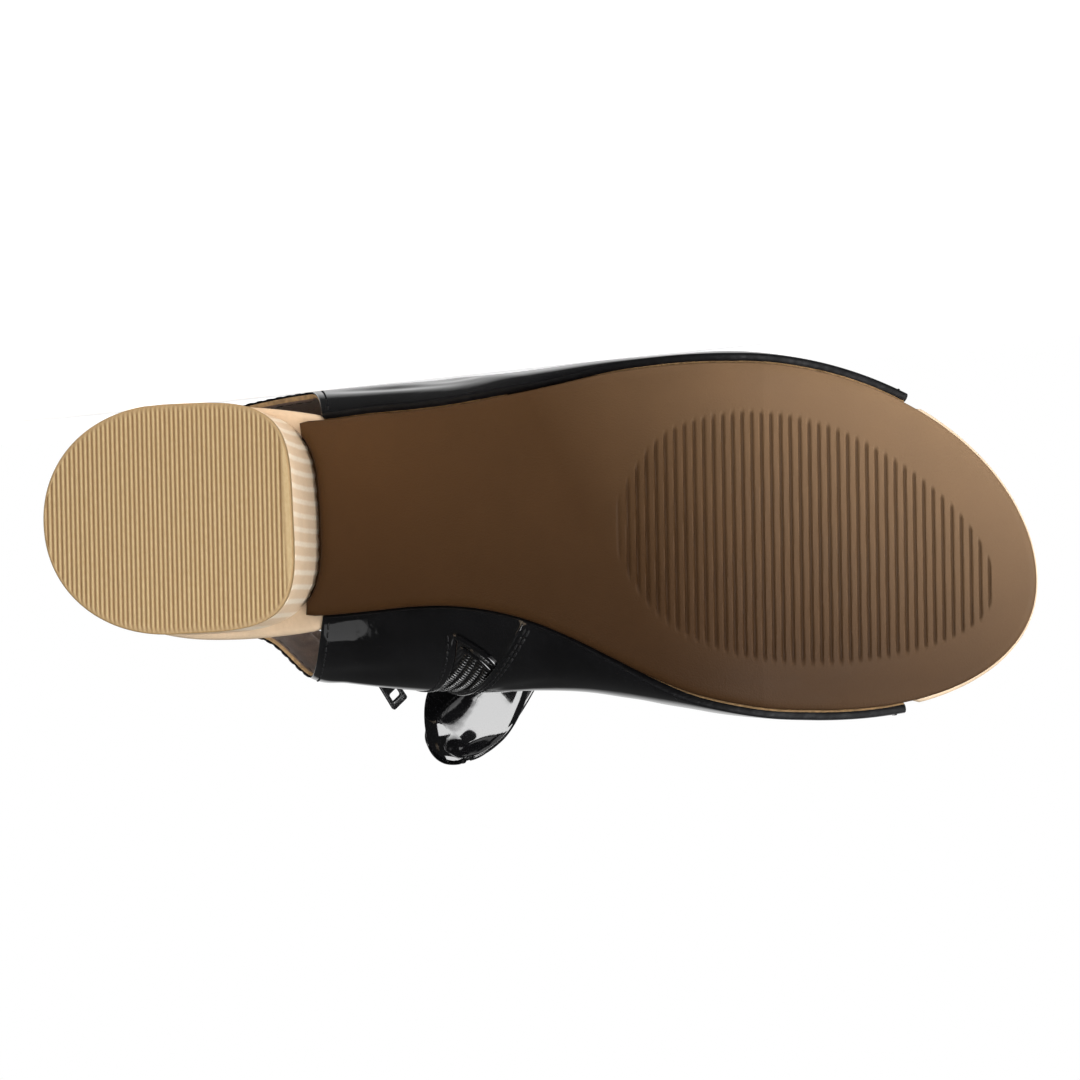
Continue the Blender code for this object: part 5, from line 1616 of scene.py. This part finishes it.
def tab_plate():
    """Flat plate with its slot and hole, from filled outlines with bevelled edges. Gives points and faces."""
    hole_end = TAB_LENGTH - TAB_HOLE_FROM_END
    hole_start = hole_end - 2 * TAB_HOLE_HALF
    b = TAB_BEVEL
    outlines = [
        rounded_rectangle(TAB_ROOT_HALF - b, TAB_END_HALF - b, TAB_BAR_LOW + b, TAB_LENGTH - b, TAB_CORNER),
        rounded_rectangle(
            TAB_SLOT_HALF + b, TAB_SLOT_HALF + b, TAB_BAR_HIGH - b, TAB_SLOT_END + b, TAB_SLOT_CORNER + b
        ),
        rounded_rectangle(
            TAB_HOLE_HALF + b, TAB_HOLE_HALF + b, hole_start - b, hole_end + b, TAB_HOLE_CORNER + b
        ),
    ]
    curve = bpy.data.curves.new("tab_outline", "CURVE")
    curve.dimensions = "2D"
    curve.fill_mode = "BOTH"
    curve.extrude = TAB_THICK / 2 - TAB_BEVEL
    curve.bevel_depth = TAB_BEVEL
    curve.bevel_resolution = TAB_BEVEL_STEPS
    for outline in outlines:
        spline = curve.splines.new("POLY")
        spline.points.add(len(outline) - 1)
        corners = np.column_stack([outline, np.zeros(len(outline)), np.ones(len(outline))])
        spline.points.foreach_set("co", corners.ravel())
        spline.use_cyclic_u = True
    holder = bpy.data.objects.new("tab_outline", curve)
    mesh = holder.to_mesh()
    work = bmesh.new()
    work.from_mesh(mesh)
    bmesh.ops.remove_doubles(work, verts=work.verts, dist=TAB_WELD)
    points = np.array([vertex.co[:] for vertex in work.verts])
    faces = [np.array([[vertex.index for vertex in face.verts]]) for face in work.faces]
    work.free()
    bpy.data.objects.remove(holder)
    bpy.data.curves.remove(curve)
    return points, faces


def make_tab(scene):
    """Pull tab, hung on the bail."""
    turn, seat = slider_axes()
    points, faces = tab_plate()
    tilt = np.array(Matrix.Rotation(math.radians(90 + TAB_TILT), 3, "X"))
    hung = points @ tilt.T + np.array([0, 0, SLIDER_HEIGHT + TAB_AXIS_HEIGHT])
    finishes = [finish_for(scene, "lacquered_metal")]
    nodes = ["zip_pull_tab"]
    add_piece("pull_tab", hung @ turn.T + seat, faces, finishes, "black_metal", body="zip_pull", nodes=nodes)


# Bow


def make_knot(scene):
    """Band of the bow: a pillow over the vamp's ridge with soft pleats across it."""
    ribs = np.linspace(*KNOT_RIBS, KNOT_ROWS)
    lines = np.linspace(KNOT_TOP_LINE, 1, KNOT_LINES)
    outer = upper_points(ribs, lines, OUTER)
    inner = upper_points(ribs, lines[::-1], INNER)
    points = np.concatenate([outer, inner[:, 1:]], axis=1)
    normals = unit(np.cross(np.gradient(points, axis=1), np.gradient(points, axis=0)))
    normals *= np.sign(normals[..., 2:3])
    low = points + normals * (VAMP_WALL + 1.3 * GAP)
    along = np.linspace(-1, 1, points.shape[0])[:, None]
    aside = np.linspace(-1, 1, points.shape[1])[None, :]
    full = np.sqrt((1 - along**KNOT_END_POWER) * (1 - aside**KNOT_SIDE_POWER))
    pleat = 0.5 - 0.5 * np.cos(math.pi * KNOT_PLEATS * (along + 1) + KNOT_PLEAT_SLANT * aside)
    height = KNOT_EDGE + (KNOT_HEIGHT - KNOT_EDGE) * full - KNOT_PLEAT_DEPTH * (1 - pleat) * full
    high = low + normals * height[..., None]
    rows, columns = points.shape[:2]
    rim = rim_numbers(rows, columns)
    count = rows * columns
    faces = [grid_quads(rows, columns), grid_quads(rows, columns, count), ring_quads(rim, rim + count)]
    points = np.vstack([low.reshape(-1, 3), high.reshape(-1, 3)])
    add_piece("bow_band", points, faces, [finish_for(scene, "patent")], "patent_leather", nodes=["bow_knot"])


def loop_surface(side, fold, hem):
    """Middle of one loop's ribbon: out along the lower layer, round the tip and back along the upper one.

    The angle runs round a long oval whose length lies on the loop's curve and whose width is the fullness.
    The ribbon is bent along a soft fold, its turned edges are drawn in a little, one corner of its tip is
    pinched and its two layers are kept apart. Gives the points and the hem.
    """
    angle = np.radians(np.linspace(LOOP_START_ANGLE, 360 - LOOP_START_ANGLE, LOOP_STEPS))
    along = (1 - np.cos(angle)) / 2
    turn = np.sin(angle)
    low_layer = -LOOP_FULLNESS_LOW / 2 * np.abs(turn) ** LOOP_BLUNTNESS_LOW
    high_layer = LOOP_FULLNESS_HIGH / 2 * np.abs(turn) ** LOOP_BLUNTNESS_HIGH
    height = np.where(turn > 0, low_layer, high_layer)
    root, first, second, tip, root_across, tip_across = (np.array(row, float) for row in BOW_CURVES[side])
    centre = bezier(root, first, second, tip, along[:, None])
    ahead = unit(bezier(root, first, second, tip, along[:, None] + 0.01) - centre)
    width_way = root_across + (tip_across - root_across) * along[:, None]
    width_way = unit(width_way - ahead * (ahead * width_way).sum(axis=1, keepdims=True))
    up = np.cross(width_way, ahead) * side
    half = curve_at([row.along for row in LOOP_WIDTHS], [row.half_width for row in LOOP_WIDTHS], along)
    half = half * np.where(turn > 0, 1.0, 1.0 - LOOP_NARROWER * np.abs(turn))
    even = np.linspace(-1, 1, LOOP_COLUMNS)
    quarter_turns = np.linspace(-math.pi / 2, math.pi / 2, LOOP_COLUMNS)
    share = np.sin(quarter_turns) * COLUMN_CROWDING + even * (1 - COLUMN_CROWDING)
    fold_share = FOLD_TIP_SHARE + (FOLD_TIP_ALONG - along) * FOLD_SLOPE
    bent = np.sqrt((share[None, :] - fold_share[:, None]) ** 2 + FOLD_SOFT**2) - FOLD_LEVEL
    layer = signed_power(turn, FOLD_POWER) * smooth_step((1 - along) / FOLD_TIP_RUN)
    near_tip = smooth_step((along - PINCH_START) / PINCH_RUN)[:, None]
    pinched = near_tip * smooth_step((share - PINCH_SHARE) / (1 - PINCH_SHARE))[None, :]
    folded = fold * layer[:, None] * smooth_step(along / FOLD_ROOT_RUN)[:, None] * bent
    rise = height[:, None] * (1 - LOOP_TIP_PINCH * pinched) + folded
    rounding = LOOP_TIP_ROUND * smooth_step((along - ROUND_START) / (1 - ROUND_START))
    reach = rounding[:, None] * (1 - share**2)[None, :]
    from_edge = half[:, None] * (1 - np.abs(share))[None, :]
    before_tip = smooth_step((HEM_END - along) / HEM_END_RUN)[:, None]
    rise = rise + HEM_DROP * (layer[:, None] * before_tip) * np.clip(1 - from_edge / hem, 0, 1)
    outward = np.where(turn > 0, -1.0, 1.0)[:, None]
    clear = LOOP_CLEAR * np.abs(turn)[:, None]
    spare = rise * outward - clear
    rise = outward * (clear + (spare + np.sqrt(spare**2 + (CLEAR_SOFT * clear) ** 2)) / 2)
    points = centre[:, None] + up[:, None] * rise[..., None] + ahead[:, None] * reach[..., None]
    points = points + width_way[:, None] * (half[:, None] * share)[..., None]
    return points, smooth_step((hem - from_edge) / HEM_SOFT + 0.5) * before_tip


def make_loop(scene, side, name, replaced):
    """One loop of the bow with its thickness and turned edges."""
    sizes = scene.sandal_sizes
    grid, hem = loop_surface(side, sizes.loop_fold / MM, sizes.hem_width / MM)
    quads = grid_quads(*grid.shape[:2])
    flat = grid.reshape(-1, 3)
    normals = point_normals(flat, quads)
    thick = LOOP_THICK + HEM_THICKER * hem.ravel()
    points, faces, _, _, _ = shell(flat - normals * thick[:, None] / 2, quads, thick, LOOP_RIM_BULGE)
    add_piece(name, points, [faces], [finish_for(scene, "patent")], "patent_leather", nodes=[replaced])


# Stage


def add_light(row, power):
    """Soft light: a rectangle in the frame that faces the sandal, rolled by some degrees."""
    light = bpy.data.lights.new(row.name, "AREA")
    light.shape = "RECTANGLE"
    light.size = row.wide
    light.size_y = row.high
    light.energy = power
    lamp = bpy.data.objects.new(row.name, light)
    lamp.location = row.place
    facing = (Vector(LIGHT_TARGET) - Vector(row.place)).to_track_quat("-Z", "Y").to_matrix()
    lamp.rotation_euler = (facing @ Matrix.Rotation(math.radians(row.roll), 3, "Z")).to_euler()
    bpy.context.scene.collection.objects.link(lamp)


def add_floor(scene):
    """Large pale floor under the sandal, left out of the mirror gloss."""
    half = FLOOR_HALF
    mesh = bpy.data.meshes.new("floor")
    corners = [(-half, -half, 0), (half, -half, 0), (half, half, 0), (-half, half, 0)]
    mesh.from_pydata(corners, [], [(0, 1, 2, 3)])
    mesh.materials.append(finish_for(scene, "floor"))
    floor = bpy.data.objects.new("floor", mesh)
    floor.visible_glossy = False
    scene.collection.objects.link(floor)


def add_world(scene):
    """White behind the sandal and to the camera, and a dim even light from all other sides."""
    stage = scene.sandal_stage
    world = bpy.data.worlds.new("studio")
    world.use_nodes = True
    tree = world.node_tree
    way = separate(tree, node(tree, "TexCoord").outputs["Generated"])["Y"]
    behind = ramp(tree, way, 0.86, 0.97, stage.ambient, BACKDROP_MIRRORED * stage.backdrop)
    seen = sums(tree, "MULTIPLY", node(tree, "LightPath").outputs["Is Camera Ray"], stage.backdrop)
    tree.links.new(sums(tree, "MAXIMUM", behind, seen), tree.nodes["Background"].inputs["Strength"])
    tree.nodes["Background"].inputs["Color"].default_value = (1, 1, 1, 1)
    scene.world = world


def add_camera(scene):
    """Camera at the photo's angle to the shoe, rolled with it, and stopped just above the floor."""
    look = Vector(to_frame(LOOK_POINT))
    eye = Vector(to_frame(EYE_POINT))
    eye.z = max(eye.z, EYE_LOWEST)
    view = (look - eye).normalized()
    right = Vector(SHOE_TURN[:, 0])
    right = (right - view * right.dot(view)).normalized()
    camera = bpy.data.cameras.new("camera")
    camera.sensor_width = SENSOR_MM
    camera.lens = SENSOR_MM * (look - eye).length / (IMAGE_PIXELS * PIXEL_MM * MM)
    camera.clip_start = 0.01
    holder = bpy.data.objects.new("camera", camera)
    turn = Matrix((right, right.cross(view), -view)).transposed().to_4x4()
    holder.matrix_world = Matrix.Translation(eye) @ turn
    scene.collection.objects.link(holder)
    scene.camera = holder


def make_stage(scene):
    """Floor, world, lights and camera."""
    stage = scene.sandal_stage
    add_floor(scene)
    add_world(scene)
    for row in LIGHTS:
        add_light(row, getattr(stage, f"{row.name}_power"))
    add_camera(scene)
    scene.view_settings.view_transform = "Standard"


# Operators and panel


class SANDAL_OT_heel(bpy.types.Operator):
    """Build the ribbed heel tip and the wood heel"""

    bl_idname = "sandal.heel"
    bl_label = "Heel"

    def execute(self, context):
        make_heel_tip(context.scene)
        make_heel_block(context.scene)
        return {"FINISHED"}


class SANDAL_OT_sole(bpy.types.Operator):
    """Build the moulded sole"""

    bl_idname = "sandal.sole"
    bl_label = "Sole"

    def execute(self, context):
        make_sole(context.scene)
        return {"FINISHED"}


class SANDAL_OT_footbed(bpy.types.Operator):
    """Build the wrapped footbed"""

    bl_idname = "sandal.footbed"
    bl_label = "Footbed"

    def execute(self, context):
        make_footbed(context.scene)
        return {"FINISHED"}


class SANDAL_OT_upper(bpy.types.Operator):
    """Build the patent upper"""

    bl_idname = "sandal.upper"
    bl_label = "Upper"

    def execute(self, context):
        make_upper(context.scene)
        return {"FINISHED"}


class SANDAL_OT_stitching(bpy.types.Operator):
    """Build the rows of stitches"""

    bl_idname = "sandal.stitching"
    bl_label = "Stitching"

    def execute(self, context):
        make_stitching(context.scene)
        return {"FINISHED"}


class SANDAL_OT_zip(bpy.types.Operator):
    """Build the zip's tape, coil, piping, slider and pull tab"""

    bl_idname = "sandal.zip"
    bl_label = "Zip"

    def execute(self, context):
        make_tape(context.scene)
        make_coil(context.scene)
        make_piping(context.scene)
        make_slider(context.scene)
        make_tab(context.scene)
        return {"FINISHED"}


class SANDAL_OT_bow(bpy.types.Operator):
    """Build the bow's band and both loops"""

    bl_idname = "sandal.bow"
    bl_label = "Bow"

    def execute(self, context):
        make_knot(context.scene)
        make_loop(context.scene, INNER, "bow_loop_inner", "bow_loop_medial")
        make_loop(context.scene, OUTER, "bow_loop_outer", "bow_loop_lateral")
        return {"FINISHED"}


class SANDAL_OT_stage(bpy.types.Operator):
    """Build the floor, the light and the camera"""

    bl_idname = "sandal.stage"
    bl_label = "Stage"

    def execute(self, context):
        make_stage(context.scene)
        return {"FINISHED"}


OPERATORS = (
    SANDAL_OT_heel,
    SANDAL_OT_sole,
    SANDAL_OT_footbed,
    SANDAL_OT_upper,
    SANDAL_OT_stitching,
    SANDAL_OT_zip,
    SANDAL_OT_bow,
    SANDAL_OT_stage,
)


class SANDAL_PT_panel(bpy.types.Panel):
    """Settings and steps of the sandal"""

    bl_idname = "SANDAL_PT_panel"
    bl_label = "Heeled Sandal"
    bl_space_type = "VIEW_3D"
    bl_region_type = "UI"
    bl_category = "Sandal"

    def draw(self, context):
        for name in ("sandal_sizes", "sandal_colours", "sandal_stage"):
            group = getattr(context.scene, name)
            box = self.layout.box()
            for key in group.__annotations__:
                box.prop(group, key)
        for operator in OPERATORS:
            self.layout.operator(operator.bl_idname)


SETTINGS = {"sandal_sizes": SandalSizes, "sandal_colours": SandalColours, "sandal_stage": SandalStage}
CLASSES = (*SETTINGS.values(), *OPERATORS, SANDAL_PT_panel)


def register():
    for entry in CLASSES:
        bpy.utils.register_class(entry)
    for name, group in SETTINGS.items():
        setattr(bpy.types.Scene, name, PointerProperty(type=group))


def unregister():
    for name in SETTINGS:
        delattr(bpy.types.Scene, name)
    for entry in reversed(CLASSES):
        bpy.utils.unregister_class(entry)


def main():
    register()
    bpy.ops.sandal.heel()
    bpy.ops.sandal.sole()
    bpy.ops.sandal.footbed()
    bpy.ops.sandal.upper()
    bpy.ops.sandal.stitching()
    bpy.ops.sandal.zip()
    bpy.ops.sandal.bow()
    bpy.ops.sandal.stage()


if __name__ == "__main__":
    main()
